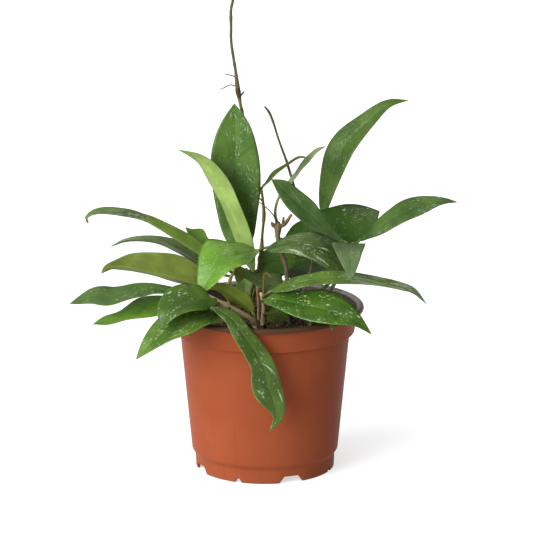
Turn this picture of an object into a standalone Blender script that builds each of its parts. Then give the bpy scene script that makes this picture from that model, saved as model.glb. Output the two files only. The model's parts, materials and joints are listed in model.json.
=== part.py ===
"""Potted hoya plant: a trailing house plant with long waxy leaves, in its own nursery pot.

Metres, +Z up, the front toward -Y and the viewer's right toward +X. The pot stands on z = 0
with its axis on the Z axis. The tables below are in millimetres. Every stem is a tube
along its points, standing in a plain hole in the soil. Every leaf is one closed loft: a
round leaf stalk that widens into a folded, waved blade. A leaf stalk ends just short of
the stem it grows from, so that no two pieces cross.
"""
import math

import bmesh
import bpy
import numpy as np
from mathutils import Matrix, Vector

MM = 0.001
OBJECT_NAME = "potted_hoya_plant"

# The pot, a standard 6 inch nursery pot.
LIP_RADIUS = 78.0
LIP_TOP = 131.4
COLLAR_TOP_RADIUS = 73.0
COLLAR_FOOT_RADIUS = 70.7
COLLAR_FOOT = 110.4
BODY_TOP_RADIUS = 67.0
BODY_FOOT_RADIUS = 57.8
BODY_FOOT = 15.2
FOOT_RADIUS = 55.3
FOOT_TOP = 11.4
WALL = 1.6
FLOOR_UNDER = 7.0
FLOOR_TOP = 8.6
POT_SIDES = 44
SOIL_SIDES = 36
WIDE_NOTCH = (21.0, 12.5, 5.2)
NARROW_NOTCH = (6.0, 1.8, 3.2)
DRAIN_RADIUS = 4.5
DRAIN_CIRCLE = 36.0
DRAINS = 6

# The soil.
SOIL_EDGE = 114.3
SOIL_MIDDLE = 115.2
SOIL_BUMP = 1.0
SOIL_GAP = 0.35
HOLE_FLOOR = 101.0
HOLE_GAP = 0.6
STEM_FOOT = 102.0

# The leaves.
BLADE_THICK = 1.1
STALK_RADIUS = 1.1
STALK_GAP = 0.35
BLADE_STEPS = 12
STALK_STEPS = 3
RIPPLE = 0.5
ACROSS = (-1.0, -0.5, 0.0, 0.5, 1.0)

# Stems: points from the tip down to the foot, and a radius at each point.
STEMS = {
    "vine_long": (
        [(-25, 34, 384), (-25, 34, 368), (-26.5, 34, 361), (-26.5, 34, 346), (-26.5, 34, 336),
         (-24.7, 34, 322), (-23, 34, 311), (-21, 34, 294.5), (-20.2, 34, 290.5), (-19.4, 34, 285),
         (-17.5, 34, 277), (-13.5, 34, 240), (-11.5, 33, 207), (-10.5, 28, 168), (-12, 24, 136),
         (-12, 24, 118.5), (-12, 24, 110)],
        [1.1, 1.15, 1.15, 1.15, 1.15, 1.15, 1.2, 2.2, 1.6, 1.2, 1.15, 1.1, 1.15, 1.2, 1.2, 1.2, 1.2]),
    "stem_dark": (
        [(-2.5, 0, 223), (-1.5, 0, 214), (-0.8, 0, 204), (-1.2, 0, 197), (-2.2, -0.5, 186),
         (-2.6, -2, 177), (-4, 0, 168), (-6.5, 4, 153), (-10.5, 6, 141), (-12, 6, 129),
         (-12, 6, 118.5), (-12, 6, 110)],
        [1.0, 1.1, 1.5, 1.1, 1.1, 1.8, 1.2, 1.2, 1.2, 1.2, 1.2, 1.2]),
    "stem_bare": (
        [(0, 14, 287), (3, 14, 283), (6, 14, 276), (11, 14, 260), (17, 14, 243), (20, 14, 233),
         (23, 14, 223), (30, 14, 204), (35, 12, 180), (37, 8, 163), (32, 6, 145), (29, 5, 133),
         (28, 5, 118.5), (28, 5, 110)],
        [0.7, 1.1, 0.9, 0.9, 1.0, 1.1, 0.95, 0.95, 0.95, 0.95, 0.95, 0.95, 0.95, 0.95]),
    "stem_stout": (
        [(10, 2, 196), (10, 2, 193), (10, 1, 185), (13, 0, 172), (16, 0, 164), (17, 0, 154),
         (19, 0, 135), (20, 0, 118.5), (20, 0, 110)],
        [2.2, 3.0, 1.9, 1.8, 1.8, 1.8, 1.8, 1.8, 1.8]),
    "stem_right_back": (
        [(47, 9, 186), (54, 7, 177), (59, 4, 164), (53, 2, 150), (46, 1, 144), (38, 0, 133),
         (34, 0, 118.5), (34, 0, 110)],
        [1.6, 1.2, 1.2, 1.2, 1.2, 1.2, 1.2, 1.2]),
    "stem_right": (
        [(69, -12, 183), (66, -12, 178), (63, -11, 168), (56, -10, 153), (51, -10, 145),
         (42, -10, 132), (36, -10, 118.5), (36, -10, 110)],
        [1.9, 2.0, 1.5, 1.5, 1.5, 1.5, 1.5, 1.5]),
    "stem_front": (
        [(-49, -47, 152), (-42, -45, 148), (-33, -38, 141.5), (-23, -29, 133.5), (-15, -21, 127),
         (-10, -15.5, 122), (-8, -12.5, 117.5), (-8, -12.5, 110)],
        [2.0, 2.1, 2.2, 2.3, 2.3, 2.1, 1.8, 1.8]),
    "stem_left": (
        [(-28, 10, 168), (-24, 7, 159), (-27, 5, 151), (-29, 3, 144), (-28, 2, 130),
         (-26, 2, 118.5), (-26, 2, 110)],
        [1.5, 1.3, 1.3, 1.3, 1.3, 1.3, 1.3]),
    "stem_crown": (
        [(-3, -28, 147), (-2, -27, 143), (-1, -22, 136), (-1, -13, 126), (-1.5, -8, 119),
         (-1.5, -7.5, 110)],
        [1.4, 1.5, 1.6, 2.0, 2.2, 2.2]),
    "stem_hooked": (
        [(5, -16, 157), (2, -15, 160), (0, -15, 160), (-1, -15, 151), (-1, -13, 141),
         (1, -6, 127), (3.5, -1, 118.5), (3.5, -1, 110)],
        [0.6, 0.9, 1.0, 0.9, 0.9, 0.9, 0.9, 0.9]),
    "stem_red": (
        [(-7, 8, 149), (-6, 6, 143), (-5, 5, 129), (-5, 5, 118.5), (-5, 5, 110)],
        [1.3, 1.2, 1.2, 1.2, 1.2]),
}

# Twigs fused into a stem: the stem, points and radii.
TWIGS = [
    ("vine_long", [(-23.7, 34, 307), (-28, 33.5, 308.5), (-32.5, 33, 309.5)], [0.5, 0.45, 0.3]),
    ("vine_long", [(-22, 34, 299), (-27, 33.5, 300.5), (-31, 33, 299), (-35.5, 32.5, 296.5)],
     [0.5, 0.45, 0.45, 0.3]),
    ("vine_long", [(-20, 34, 291), (-18, 34, 293), (-16.5, 34, 295)], [1.0, 0.8, 0.5]),
    ("stem_stout", [(10, 2, 193.5), (7, 1.5, 194.5), (5.5, 1, 196.5)], [1.9, 2.0, 1.2]),
    ("stem_stout", [(10, 2, 193), (15, 1.5, 195.5), (20.5, 1.5, 203)], [1.6, 1.6, 1.1]),
    ("stem_stout", [(14, 1.5, 195), (14.5, 0.5, 201)], [1.3, 0.9]),
    ("stem_stout", [(9, 1, 195), (7, -1.8, 203), (0, -2.6, 211), (-7, -2.2, 216)],
     [0.8, 0.5, 0.45, 0.35]),
    ("stem_dark", [(-1.5, 0, 214), (-4, -1, 217)], [0.8, 0.5]),
]

# Leaves: rib points from the stem to the tip, half-widths at a tenth, three, five, seven
# and nine tenths of the blade (five for both sides, or five for each), facing of the upper
# side as (turn from the front, tilt up) in degrees from base to tip, leaf stalk length,
# fold in degrees, and hollow.
LEAVES = {
    "leaf_left_arched": (
        [(-25, 6, 155), (-34, 10, 159), (-47, 13, 166), (-71, 15, 181.5), (-95, 18, 195),
         (-116, 20, 199), (-130, 20, 200), (-137, 20, 198.5), (-140.5, 20, 195.5),
         (-139.5, 20, 191.5)],
        (8.5, 10.5, 9.5, 9, 4.5), [(180, 50), (180, 66), (-20, 62)], 20, 27, 0),
    "leaf_left_folded": (
        [(-26, 6, 152), (-37, 12, 153), (-51, 18, 159), (-69, 20, 169), (-83, 22, 175),
         (-96, 23, 177), (-111, 24, 176), (-122, 24, 172)],
        (8, 11.5, 9.5, 6, 2.5), [(0, 89), (0, 89)], 20, 27, 0),
    "leaf_left_olive": (
        [(-28, 3, 144), (-40, 3, 143), (-51, 4, 146), (-71, 8, 151), (-92, 12, 155),
         (-111, 15, 158), (-124, 15.5, 157), (-129.5, 16, 152)],
        (16, 24, 23.5, 16, 4.5, 16, 24, 22, 17, 9.5), [(180, 50), (180, 45)], 10, 18, 0),
    "leaf_left_long": (
        [(-48, -48, 152), (-60, -48, 153), (-77, -48, 155), (-87, -48, 156), (-100, -49, 155),
         (-119, -50, 151), (-134, -50, 151), (-151, -50, 145)],
        (4.5, 9, 14, 16.5, 9, 4.5, 7.5, 9, 12, 5), [(0, 72), (0, 72)], 12, 8, 0),
    "leaf_left_blunt": (
        [(-46, -46, 150), (-52, -44, 144), (-62, -44, 142), (-81, -47, 142), (-90, -49, 141),
         (-104, -52, 138), (-119, -54, 133), (-133, -56, 130)],
        (9, 14, 16, 13, 9, 9, 13, 14, 8, 7), [(0, 66), (0, 84)], 12, 8, 0),
    "leaf_speckled": (
        [(-38, -41, 145), (-40, -52, 149), (-51, -59, 151), (-64, -68, 150), (-74, -77, 145),
         (-80, -82, 133)],
        (11, 17.5, 19, 13, 5), [(-20, 55), (-40, 40)], 11, 8, 0),
    "leaf_left_drooping": (
        [(-28, -33, 138), (-28, -46, 136), (-36, -58, 137), (-49, -66, 139), (-72, -73, 132),
         (-87, -78, 122), (-99, -81, 109)],
        (9, 15, 17.5, 14, 5.5, 9, 14, 15.5, 12.5, 5), [(-25, 65), (-25, 55)], 16, 8, 0),
    "leaf_bright_bent": (
        [(-2, -2, 177), (-8, -9, 176), (-19, -20, 177), (-27, -27, 176), (-36, -33, 172),
         (-44, -38, 161), (-51, -40, 148.5)],
        (5, 16, 17, 14.5, 6.5, 9, 14.5, 24, 15, 7), [(-10, 50), (-50, 20)], 5, 11, 0),
    "leaf_pale_upright": (
        [(-7, 8, 147), (-9, 9, 155), (-12, 9, 163), (-18, 9, 183), (-28, 9, 208),
         (-38, 10, 228), (-50, 12, 244), (-68, 13, 253)],
        (6, 10.5, 12.5, 12, 6), [(150, 5), (135, 24), (160, 55)], 8, 8, 0),
    "leaf_tall_back": (
        [(-11, 25, 156), (-13, 19, 161), (-18, 19, 172), (-21, 24, 189), (-22, 26, 209),
         (-23, 27, 241), (-23, 27, 266), (-24, 27, 287)],
        (10.5, 16.5, 19.5, 19, 10, 10.5, 16.5, 19.5, 17.5, 8.8), [(0, 5), (0, 8)], 14, 8, 0),
    "leaf_small_back": (
        [(-25, 8, 162), (-34, 18, 162), (-42, 27, 166), (-53, 31, 176), (-63, 31, 186)],
        (5, 7, 6.5, 5, 2.5, 5, 8, 6.5, 9, 2), [(0, 50), (0, 50)], 18, 8, 0),
    "leaf_thin_top": (
        [(-11, 32, 197), (-7, 34, 201), (-5, 30, 212), (-2, 26, 220), (4, 21, 227),
         (9, 14, 234), (17, 6, 242), (27, 2, 249), (34, 0, 249)],
        (2.2, 3.5, 4, 3.2, 1.8), [(0, 85), (0, 85)], 30, 25, 0),
    "leaf_slim_grey": (
        [(10, 2, 195), (8, 3, 205), (11, 4, 217), (20, 5, 229), (25, 5, 235), (30, 6, 242),
         (36, 6, 249), (41, 6, 254), (47, 6, 257)],
        (3, 4.8, 5.2, 5, 3, 3, 6, 7.5, 7, 4), [(-78, 20), (-76, 35)], 24, 8, 0),
    "leaf_tall_right": (
        [(47, 10, 184), (47, 15, 194), (47, 18, 204), (53, 18, 231), (62, 19, 255),
         (80, 20, 274), (97, 20, 288), (112, 20, 291)],
        (7.5, 13, 14, 9.5, 3.8, 6.5, 13, 16, 11, 4), [(-50, 5), (-50, 32), (-10, 60)], 15, 8, 0),
    "leaf_upper_front": (
        [(68, -12, 181), (64, -16, 185), (59, -19, 188), (45, -28, 202), (26, -32, 220),
         (12, -34, 234), (5, -34, 240)],
        (4.5, 10, 16, 17, 8.5, 4.5, 9, 13, 13.5, 8), [(50, 46), (50, 46)], 10, 5, 0),
    "leaf_middle_back": (
        [(10, 1, 184), (20, 1, 184), (32, 2, 187), (49, 1, 192), (68, 5, 196), (79, 6, 200),
         (90, 6, 205)],
        (10, 15, 17, 16.5, 8, 7, 13, 17, 17, 10), [(0, 50), (0, 30)], 4.5, 2, 0),
    "leaf_far_right": (
        [(69, -12, 182), (76, -18, 189), (85, -23, 197), (99, -25, 207), (111, -26, 214),
         (130, -26, 220), (140, -26, 221), (149, -26, 220)],
        (4.5, 9.5, 12, 10.5, 4, 6, 13.5, 16, 14, 5.5), [(-20, 60), (0, 76)], 8, 6, 0),
    "leaf_domed": (
        [(-2, -2, 177), (2, -7, 179), (12, -13, 183), (30, -22, 187), (47, -28, 182),
         (58, -31, 171), (63, -31, 156)],
        (10, 14.5, 17, 15, 6, 8, 12.5, 14.5, 13.5, 6), [(0, 65), (0, 65), (30, 35)], 5.5, 5, 0.2),
    "leaf_hanging_grey": (
        [(68, -12, 179), (67, -24, 186), (66, -37, 189), (66, -49, 187), (66, -59, 180),
         (66.5, -66, 168)],
        (10.5, 11.5, 9.5, 7, 3, 12, 14, 12, 8, 3.5), [(0, 75), (0, 20)], 16, 2, 0),
    "leaf_long_right": (
        [(-2, -28, 144), (2, -30, 148), (10, -35, 153), (19, -41, 157.5), (36, -48, 163.5),
         (52, -51, 166), (73, -51, 165), (90, -50, 162), (106, -48, 158), (115, -47, 154.5),
         (125, -46, 144)],
        (7.5, 8.5, 8, 6.5, 4), [(0, 62), (0, 68), (0, 72)], 10, 3, 0),
    "leaf_over_rim": (
        [(-2, -26, 141), (0, -35, 144), (12, -43, 146), (27, -53, 145), (43, -61, 144),
         (54, -65, 142), (65, -68, 139), (72, -69, 135), (82, -70, 126)],
        (8, 14.5, 17.5, 13.5, 4), [(0, 60), (10, 55)], 9, 8, 0),
    "leaf_rear": (
        [(30, 5, 136), (27, 9, 144), (30, 22, 148), (37, 40, 149), (47, 62, 149), (58, 88, 146)],
        (11, 17.5, 20, 16, 7, 9, 15, 16, 13, 6), [(-20, 50), (0, 62)], 12, 5, 0),
    "leaf_front_hanging": (
        [(-36, -40, 144), (-36, -53, 141), (-38, -64, 143), (-41, -71, 147), (-39, -75, 148),
         (-33, -77, 145), (-26, -79, 141), (-17, -82, 129), (-7, -83, 115), (-1, -82, 103),
         (2, -81, 89), (7, -80, 74), (9, -79, 63), (4, -77, 50)],
        (5, 7.5, 8.5, 10, 5, 5, 9, 10.5, 13, 2.5), [(10, 60), (15, 15), (15, 0)], 36, 8, 0),
    "leaf_shaded": (
        [(-11, 25, 150), (-6, 19, 154), (-1, 15, 159), (9, 15, 161), (22, 16, 162), (36, 17, 164)],
        (9, 13, 13, 9, 5, 9, 14, 13, 5.5, 3), [(0, 45), (0, 45)], 10, 8, 0),
    "leaf_inner_dark": (
        [(19, 0, 141), (12, -4, 145), (2, -5, 149), (-8, -5, 153), (-13, -5, 157), (-15, -4, 162)],
        (7, 8, 7.5, 5, 2.5, 11, 11, 8, 5.5, 2.5), [(0, 50), (0, 50)], 5.5, 8, 0),
    "leaf_inside_pot": (
        [(-1, -15, 127), (3, -19, 129), (9, -24, 131), (18, -28, 127)],
        (7, 11, 11, 9, 5), [(0, 50), (0, 40)], 6, 8, 0),
    "leaf_young": (
        [(-12, 6, 123), (-14, 8.5, 127), (-15.5, 10.5, 135), (-16, 11.5, 149)],
        (5, 8, 9, 8, 4, 4, 6, 7.5, 8, 4), [(0, 15), (0, 25)], 5, 8, 0),
    "leaf_crown_olive": (
        [(-7, -13, 121), (-10, -14, 129), (-24, -20, 143), (-43, -26, 156)],
        (5, 9, 10, 8, 4), [(180, 50), (180, 50)], 8, 8, 0),
    "leaf_shoot": (
        [(-5, 5, 129), (-7, 11, 133), (-13, 18, 142), (-20, 18, 152), (-25, 16, 159)],
        (3, 5.5, 6.5, 6, 3), [(0, 15), (0, 30)], 7, 8, 0),
    "leaf_rim_tip": (
        [(40, -10, 129), (45, -26, 137), (49, -46, 140), (51, -62, 139), (52, -70, 128)],
        (3, 5, 5, 3.5, 2), [(0, 60), (0, 20)], 20, 8, 0),
}

COLOURS = {
    "pot": (0.42, 0.12, 0.05), "soil": (0.045, 0.03, 0.02), "stem": (0.10, 0.055, 0.03),
    "leaf": (0.055, 0.17, 0.04), "leaf_bright_bent": (0.14, 0.42, 0.06),
    "leaf_pale_upright": (0.36, 0.55, 0.16), "leaf_left_olive": (0.20, 0.28, 0.06),
    "leaf_crown_olive": (0.16, 0.19, 0.05), "leaf_young": (0.18, 0.42, 0.09),
    "leaf_shoot": (0.22, 0.45, 0.09), "leaf_hanging_grey": (0.16, 0.27, 0.12),
    "leaf_slim_grey": (0.14, 0.24, 0.11),
}


def clear_scene():
    """Remove every object of the start-up scene."""
    for item in list(bpy.data.objects):
        bpy.data.objects.remove(item, do_unlink=True)


def new_collection(name):
    """A collection linked to the scene."""
    group = bpy.data.collections.new(name)
    bpy.context.scene.collection.children.link(group)
    return group


def material(name, colour, rough):
    """A Principled material of one colour."""
    mat = bpy.data.materials.new(name + "_material")
    mat.use_nodes = True
    shader = mat.node_tree.nodes["Principled BSDF"]
    shader.inputs["Base Color"].default_value = (*colour, 1.0)
    shader.inputs["Roughness"].default_value = rough
    mat.diffuse_color = (*colour, 1.0)
    return mat


def mesh_object(name, points, faces, group):
    """A mesh object from points in millimetres."""
    mesh = bpy.data.meshes.new(name)
    mesh.from_pydata([tuple(float(v) * MM for v in p) for p in points], [], faces)
    mesh.update()
    item = bpy.data.objects.new(name, mesh)
    group.objects.link(item)
    return item


def smooth_curve(points, per=10):
    """A centripetal Catmull-Rom curve through the points, as many short steps."""
    p = np.array(points, float)
    if len(p) == 2:
        t = np.linspace(0, 1, per + 1)[:, None]
        return p[0] * (1 - t) + p[1] * t
    ends = np.vstack([2 * p[0] - p[1], p, 2 * p[-1] - p[-2]])
    steps = [span(ends[i:i + 4], per) for i in range(len(p) - 1)]
    return np.vstack(steps + [p[-1:]])


def span(four, per):
    """The curve between the middle two of four points."""
    a, b, c, d = four
    t1 = max(np.linalg.norm(b - a), 1e-6) ** 0.5
    t2 = t1 + max(np.linalg.norm(c - b), 1e-6) ** 0.5
    t3 = t2 + max(np.linalg.norm(d - c), 1e-6) ** 0.5
    t = np.linspace(t1, t2, per, endpoint=False)[:, None]
    ab = (t1 - t) / t1 * a + t / t1 * b
    bc = (t2 - t) / (t2 - t1) * b + (t - t1) / (t2 - t1) * c
    cd = (t3 - t) / (t3 - t2) * c + (t - t2) / (t3 - t2) * d
    abc = (t2 - t) / t2 * ab + t / t2 * bc
    bcd = (t3 - t) / (t3 - t1) * bc + (t - t1) / (t3 - t1) * cd
    return (t2 - t) / (t2 - t1) * abc + (t - t1) / (t2 - t1) * bcd


def distances(curve):
    """Length along the curve at each of its points."""
    return np.concatenate([[0.0], np.cumsum(np.linalg.norm(np.diff(curve, axis=0), axis=1))])


def points_at(curve, where):
    """The curve's points at the given lengths along it."""
    d = distances(curve)
    return np.stack([np.interp(where, d, curve[:, k]) for k in range(3)], axis=1)


def stem_line(points, radii, step=7.0):
    """A stem's points and radii, evenly spaced, ending in a straight foot in the soil."""
    x, y = points[-1][:2]
    curve = smooth_curve(points[:-1] + [(x, y, SOIL_EDGE - 1.5), (x, y, STEM_FOOT)], 12)
    d = distances(curve)
    radii = radii + radii[-1:]
    marks = d[::12]
    where = np.unique(np.concatenate([marks, np.arange(0, d[-1], step)]))
    keep = [where[0]]
    for w in where[1:]:
        if w - keep[-1] > 0.34 * step or w == where[-1]:
            keep.append(w)
    keep = np.array(keep)
    return points_at(curve, keep), np.interp(keep, marks, radii)


def with_round_tip(line, sizes):
    """The stem's line and sizes with a domed end added at its tip."""
    out = line[0] - line[1]
    out = out / np.linalg.norm(out) * sizes[0]
    tip = [line[0] + 0.95 * out, line[0] + 0.65 * out]
    return np.vstack([tip, line]), np.concatenate([[0.35 * sizes[0], 0.78 * sizes[0]], sizes])


def tube(name, points, radii, group, rings=2):
    """A tube along the points: a poly spline with a round bevel and a radius at each point."""
    data = bpy.data.curves.new(name, "CURVE")
    data.dimensions = "3D"
    data.bevel_depth = MM
    data.bevel_resolution = rings
    data.use_fill_caps = True
    spline = data.splines.new("POLY")
    spline.points.add(len(points) - 1)
    for slot, p, r in zip(spline.points, points, radii):
        slot.co = (p[0] * MM, p[1] * MM, p[2] * MM, 1.0)
        slot.radius = float(r)
    item = bpy.data.objects.new(name, data)
    group.objects.link(item)
    return item


def as_mesh(item):
    """The curve object as a welded mesh object of the same name."""
    name = item.name
    group = item.users_collection[0]
    bpy.context.view_layer.update()
    seen = item.evaluated_get(bpy.context.evaluated_depsgraph_get())
    mesh = bpy.data.meshes.new_from_object(seen)
    bpy.data.objects.remove(item, do_unlink=True)
    solid = bpy.data.objects.new(name, mesh)
    group.objects.link(solid)
    weld = solid.modifiers.new("weld", "WELD")
    weld.merge_threshold = 0.00001
    return solid


def join_with(item, tool, operation):
    """An exact boolean of the item and the tool."""
    cut = item.modifiers.new(operation.lower() + "_" + tool.name, "BOOLEAN")
    cut.operation = operation
    cut.solver = "EXACT"
    cut.object = tool


def pot_profile():
    """The pot's section, from the middle of its floor up the inside and down the outside."""
    inner_low = BODY_FOOT_RADIUS - WALL
    inner_top = BODY_TOP_RADIUS - WALL
    return [
        (0.0, FLOOR_TOP), (FOOT_RADIUS - 2.1, FLOOR_TOP), (inner_low, BODY_FOOT + 0.8),
        (inner_top, COLLAR_FOOT + 0.8), (COLLAR_FOOT_RADIUS - 1.5, COLLAR_FOOT + 2.8),
        (COLLAR_TOP_RADIUS - 1.4, LIP_TOP - 4.2), (COLLAR_TOP_RADIUS - 0.1, LIP_TOP - 1.0),
        (74.2, LIP_TOP - 0.15), (76.0, LIP_TOP), (77.4, LIP_TOP - 0.8), (LIP_RADIUS, LIP_TOP - 2.0),
        (77.5, LIP_TOP - 3.2), (76.0, LIP_TOP - 4.0), (COLLAR_TOP_RADIUS + 0.3, LIP_TOP - 4.2),
        (COLLAR_TOP_RADIUS, LIP_TOP - 4.9), (COLLAR_FOOT_RADIUS, COLLAR_FOOT + 0.5),
        (COLLAR_FOOT_RADIUS - 0.5, COLLAR_FOOT), (BODY_TOP_RADIUS + 0.2, COLLAR_FOOT),
        (BODY_TOP_RADIUS - 0.05, COLLAR_FOOT - 0.6), (BODY_FOOT_RADIUS, BODY_FOOT),
        (BODY_FOOT_RADIUS - 0.5, BODY_FOOT - 0.8), (FOOT_RADIUS + 0.3, FOOT_TOP + 0.5),
        (FOOT_RADIUS, FOOT_TOP), (FOOT_RADIUS - 0.5, 0.0), (FOOT_RADIUS - 2.7, 0.0),
        (FOOT_RADIUS - 2.4, FLOOR_UNDER), (0.0, FLOOR_UNDER)]


def lathe(name, profile, group):
    """The profile turned about the Z axis."""
    points = [(r, 0.0, z) for r, z in profile]
    mesh = bpy.data.meshes.new(name)
    edges = [(i, i + 1) for i in range(len(points) - 1)]
    mesh.from_pydata([tuple(v * MM for v in p) for p in points], edges, [])
    item = bpy.data.objects.new(name, mesh)
    group.objects.link(item)
    turn = item.modifiers.new("turn", "SCREW")
    turn.steps = POT_SIDES
    turn.render_steps = POT_SIDES
    turn.angle = math.tau
    turn.use_merge_vertices = True
    turn.merge_threshold = 0.00001
    turn.use_normal_calculate = True
    return item


def cutter(item):
    """The object as a cutter that doesn't render."""
    item.hide_render = True
    item.display_type = "WIRE"
    return item


def round_cutters(name, spots, sides, low, high, group):
    """Upright cylinders between two heights, one for each (x, y, radius), as one cutter."""
    form = bmesh.new()
    for x, y, radius in spots:
        place = Matrix.Translation(Vector((x, y, (low + high) / 2)) * MM)
        bmesh.ops.create_cone(form, cap_ends=True, segments=sides, radius1=radius * MM,
                              radius2=radius * MM, depth=(high - low) * MM, matrix=place)
    mesh = bpy.data.meshes.new(name)
    form.to_mesh(mesh)
    form.free()
    item = bpy.data.objects.new(name, mesh)
    group.objects.link(item)
    return cutter(item)


def notch(turn, mouth, top, height):
    """A wedge across the foot ring, as wide as the mouth angle below and the top angle above."""
    points = []
    for z, wide in ((-1.0, mouth), (height, top)):
        for r, side in ((50.0, -0.5), (60.0, -0.5), (60.0, 0.5), (50.0, 0.5)):
            a = math.radians(turn - 90.0 + side * wide)
            points.append((r * math.cos(a), r * math.sin(a), z))
    faces = [(3, 2, 1, 0), (4, 5, 6, 7), (0, 1, 5, 4), (1, 2, 6, 5), (2, 3, 7, 6), (3, 0, 4, 7)]
    return points, faces


def pieces_object(name, pieces, group):
    """One mesh object of several separate closed pieces."""
    points = []
    faces = []
    for part_points, part_faces in pieces:
        base = len(points)
        points += list(part_points)
        faces += [tuple(base + i for i in face) for face in part_faces]
    return cutter(mesh_object(name, points, faces, group))


def circle(r, sides):
    """An anticlockwise regular outline round the pot's axis."""
    angles = [math.tau * i / sides for i in range(sides)]
    return [(r * math.cos(a), r * math.sin(a)) for a in angles]


def build_pot(group, cutters):
    """The pot with its foot notches and drain holes."""
    pot = lathe("pot", pot_profile(), group)
    notches = []
    for quarter in range(4):
        notches.append(notch(22.5 + 90 * quarter, *WIDE_NOTCH))
        notches.append(notch(-22.5 + 90 * quarter, *NARROW_NOTCH))
    drains = []
    for i in range(DRAINS):
        a = math.tau * (i + 0.5) / DRAINS
        drains.append((DRAIN_CIRCLE * math.cos(a), DRAIN_CIRCLE * math.sin(a), DRAIN_RADIUS))
    join_with(pot, pieces_object("foot_notches", notches, cutters), "DIFFERENCE")
    holes = round_cutters("drain_holes", drains, 12, FLOOR_UNDER - 2, FLOOR_TOP + 2, cutters)
    join_with(pot, holes, "DIFFERENCE")
    return pot


def bump(x, y):
    """Height of the soil's lumps at a place, from a few crossed waves."""
    lumps = math.sin(0.31 * x + 1.3 * math.sin(0.17 * y)) * math.cos(0.27 * y - 0.11 * x)
    crumbs = math.sin(0.83 * x - 0.47 * y + 2.0) * math.sin(0.69 * y + 0.52 * x)
    return SOIL_BUMP * (0.9 * lumps + 0.6 * crumbs)


def soil_rings():
    """The soil's rings from the middle of its top outward and down to the middle below."""
    gap = SOIL_GAP
    rings = [(r, SOIL_MIDDLE + (SOIL_EDGE - SOIL_MIDDLE) * r / 60.0, 1.0) for r in (12, 24, 37, 50)]
    rings += [(63.0, SOIL_EDGE, 0.8), (COLLAR_FOOT_RADIUS - 1.5 - gap, SOIL_EDGE, 0.0)]
    rings += [(COLLAR_FOOT_RADIUS - 1.5 - gap, COLLAR_FOOT + 2.8 + gap, 0.0)]
    rings += [(BODY_TOP_RADIUS - WALL - gap, COLLAR_FOOT + 0.8 + gap, 0.0)]
    rings += [(BODY_FOOT_RADIUS - WALL - gap, BODY_FOOT + 0.8 + gap, 0.0)]
    rings += [(FOOT_RADIUS - 2.1 - gap - 0.1, FLOOR_TOP + gap, 0.0)]
    return rings


def build_soil(group, cutters, feet):
    """The lumpy filled body of soil, with a hole for each stem."""
    points = [(0.0, 0.0, SOIL_MIDDLE + bump(0, 0))]
    rings = soil_rings()
    for r, z, rough in rings:
        for x, y in circle(r, SOIL_SIDES):
            points.append((x, y, z + rough * bump(x, y)))
    points.append((0.0, 0.0, rings[-1][1]))
    n = SOIL_SIDES
    faces = [(0, 1 + j, 1 + (j + 1) % n) for j in range(n)]
    for i in range(len(rings) - 1):
        a = 1 + i * n
        faces += [(a + j, a + n + j, a + n + (j + 1) % n, a + (j + 1) % n) for j in range(n)]
    last = 1 + (len(rings) - 1) * n
    faces += [(last + j, len(points) - 1, last + (j + 1) % n) for j in range(n)]
    soil = mesh_object("soil", points, faces, group)
    for i, (x, y, r) in enumerate(feet):
        spot = (x, y, r + HOLE_GAP)
        hole = round_cutters("stem_hole_%d" % i, [spot], 10, HOLE_FLOOR, SOIL_MIDDLE + 12, cutters)
        join_with(soil, hole, "DIFFERENCE")
    return soil


def build_stems(group, cutters):
    """Every stem with its twigs, and the lines that the leaves keep clear of."""
    lines = []
    feet = []
    for name, (points, radii) in STEMS.items():
        line, sizes = stem_line(points, radii)
        fine = np.arange(0.0, distances(line)[-1], 0.4)
        lines.append((points_at(line, fine), np.interp(fine, distances(line), sizes)))
        feet.append((points[-1][0], points[-1][1], radii[-1]))
        twigs = [t for t in TWIGS if t[0] == name]
        stem = as_mesh(tube(name, *with_round_tip(line, sizes), group))
        for i, (_, twig_points, twig_radii) in enumerate(twigs):
            twig = as_mesh(tube(name + "_twig_%d" % i, twig_points, twig_radii, cutters, 1))
            join_with(stem, cutter(twig), "UNION")
    return lines, feet


def facing(turn, tilt):
    """A direction turned from the front toward the right and tilted up, in degrees."""
    a = math.radians(turn)
    e = math.radians(tilt)
    return np.array([math.sin(a) * math.cos(e), -math.cos(a) * math.cos(e), math.sin(e)])


def half_width(t, sizes):
    """The blade's half-width at the fractions t of its length."""
    x = np.array([0, 0.1, 0.3, 0.5, 0.7, 0.9, 1.0])
    y = np.array([sizes[0] * 0.35, *sizes, 0.4])
    slope = np.gradient(y, x)
    k = np.clip(np.searchsorted(x, t, side="right") - 1, 0, len(x) - 2)
    h = x[k + 1] - x[k]
    u = (t - x[k]) / h
    near = y[k] * (1 + 2 * u) * (1 - u) ** 2 + slope[k] * h * u * (1 - u) ** 2
    far = y[k + 1] * u * u * (3 - 2 * u) - slope[k + 1] * h * u * u * (1 - u)
    return np.maximum(near + far, 0.4)


def side_sizes(sizes, u):
    """The half-widths of the side on which u lies: ten sizes give each side its own."""
    return sizes[:5] if u < 0 or len(sizes) == 5 else sizes[5:]


def directions(curve, where):
    """Unit tangents of the curve at the given lengths along it."""
    end = distances(curve)[-1]
    t = points_at(curve, np.clip(where + 1.5, 0, end)) - points_at(curve, np.clip(where - 1.5, 0, end))
    return t / np.linalg.norm(t, axis=1)[:, None]


def upper_side(t, faces):
    """The upper side's direction at the fractions t, blended between the given ones."""
    marks = np.linspace(0, 1, len(faces))
    dirs = np.array([facing(*f) for f in faces])
    return np.stack([np.interp(t, marks, dirs[:, k]) for k in range(3)], axis=1)


def square_to(vectors, tangents):
    """The vectors made square to the tangents and of length one."""
    out = vectors - (vectors * tangents).sum(axis=1)[:, None] * tangents
    return out / np.linalg.norm(out, axis=1)[:, None]


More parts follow.
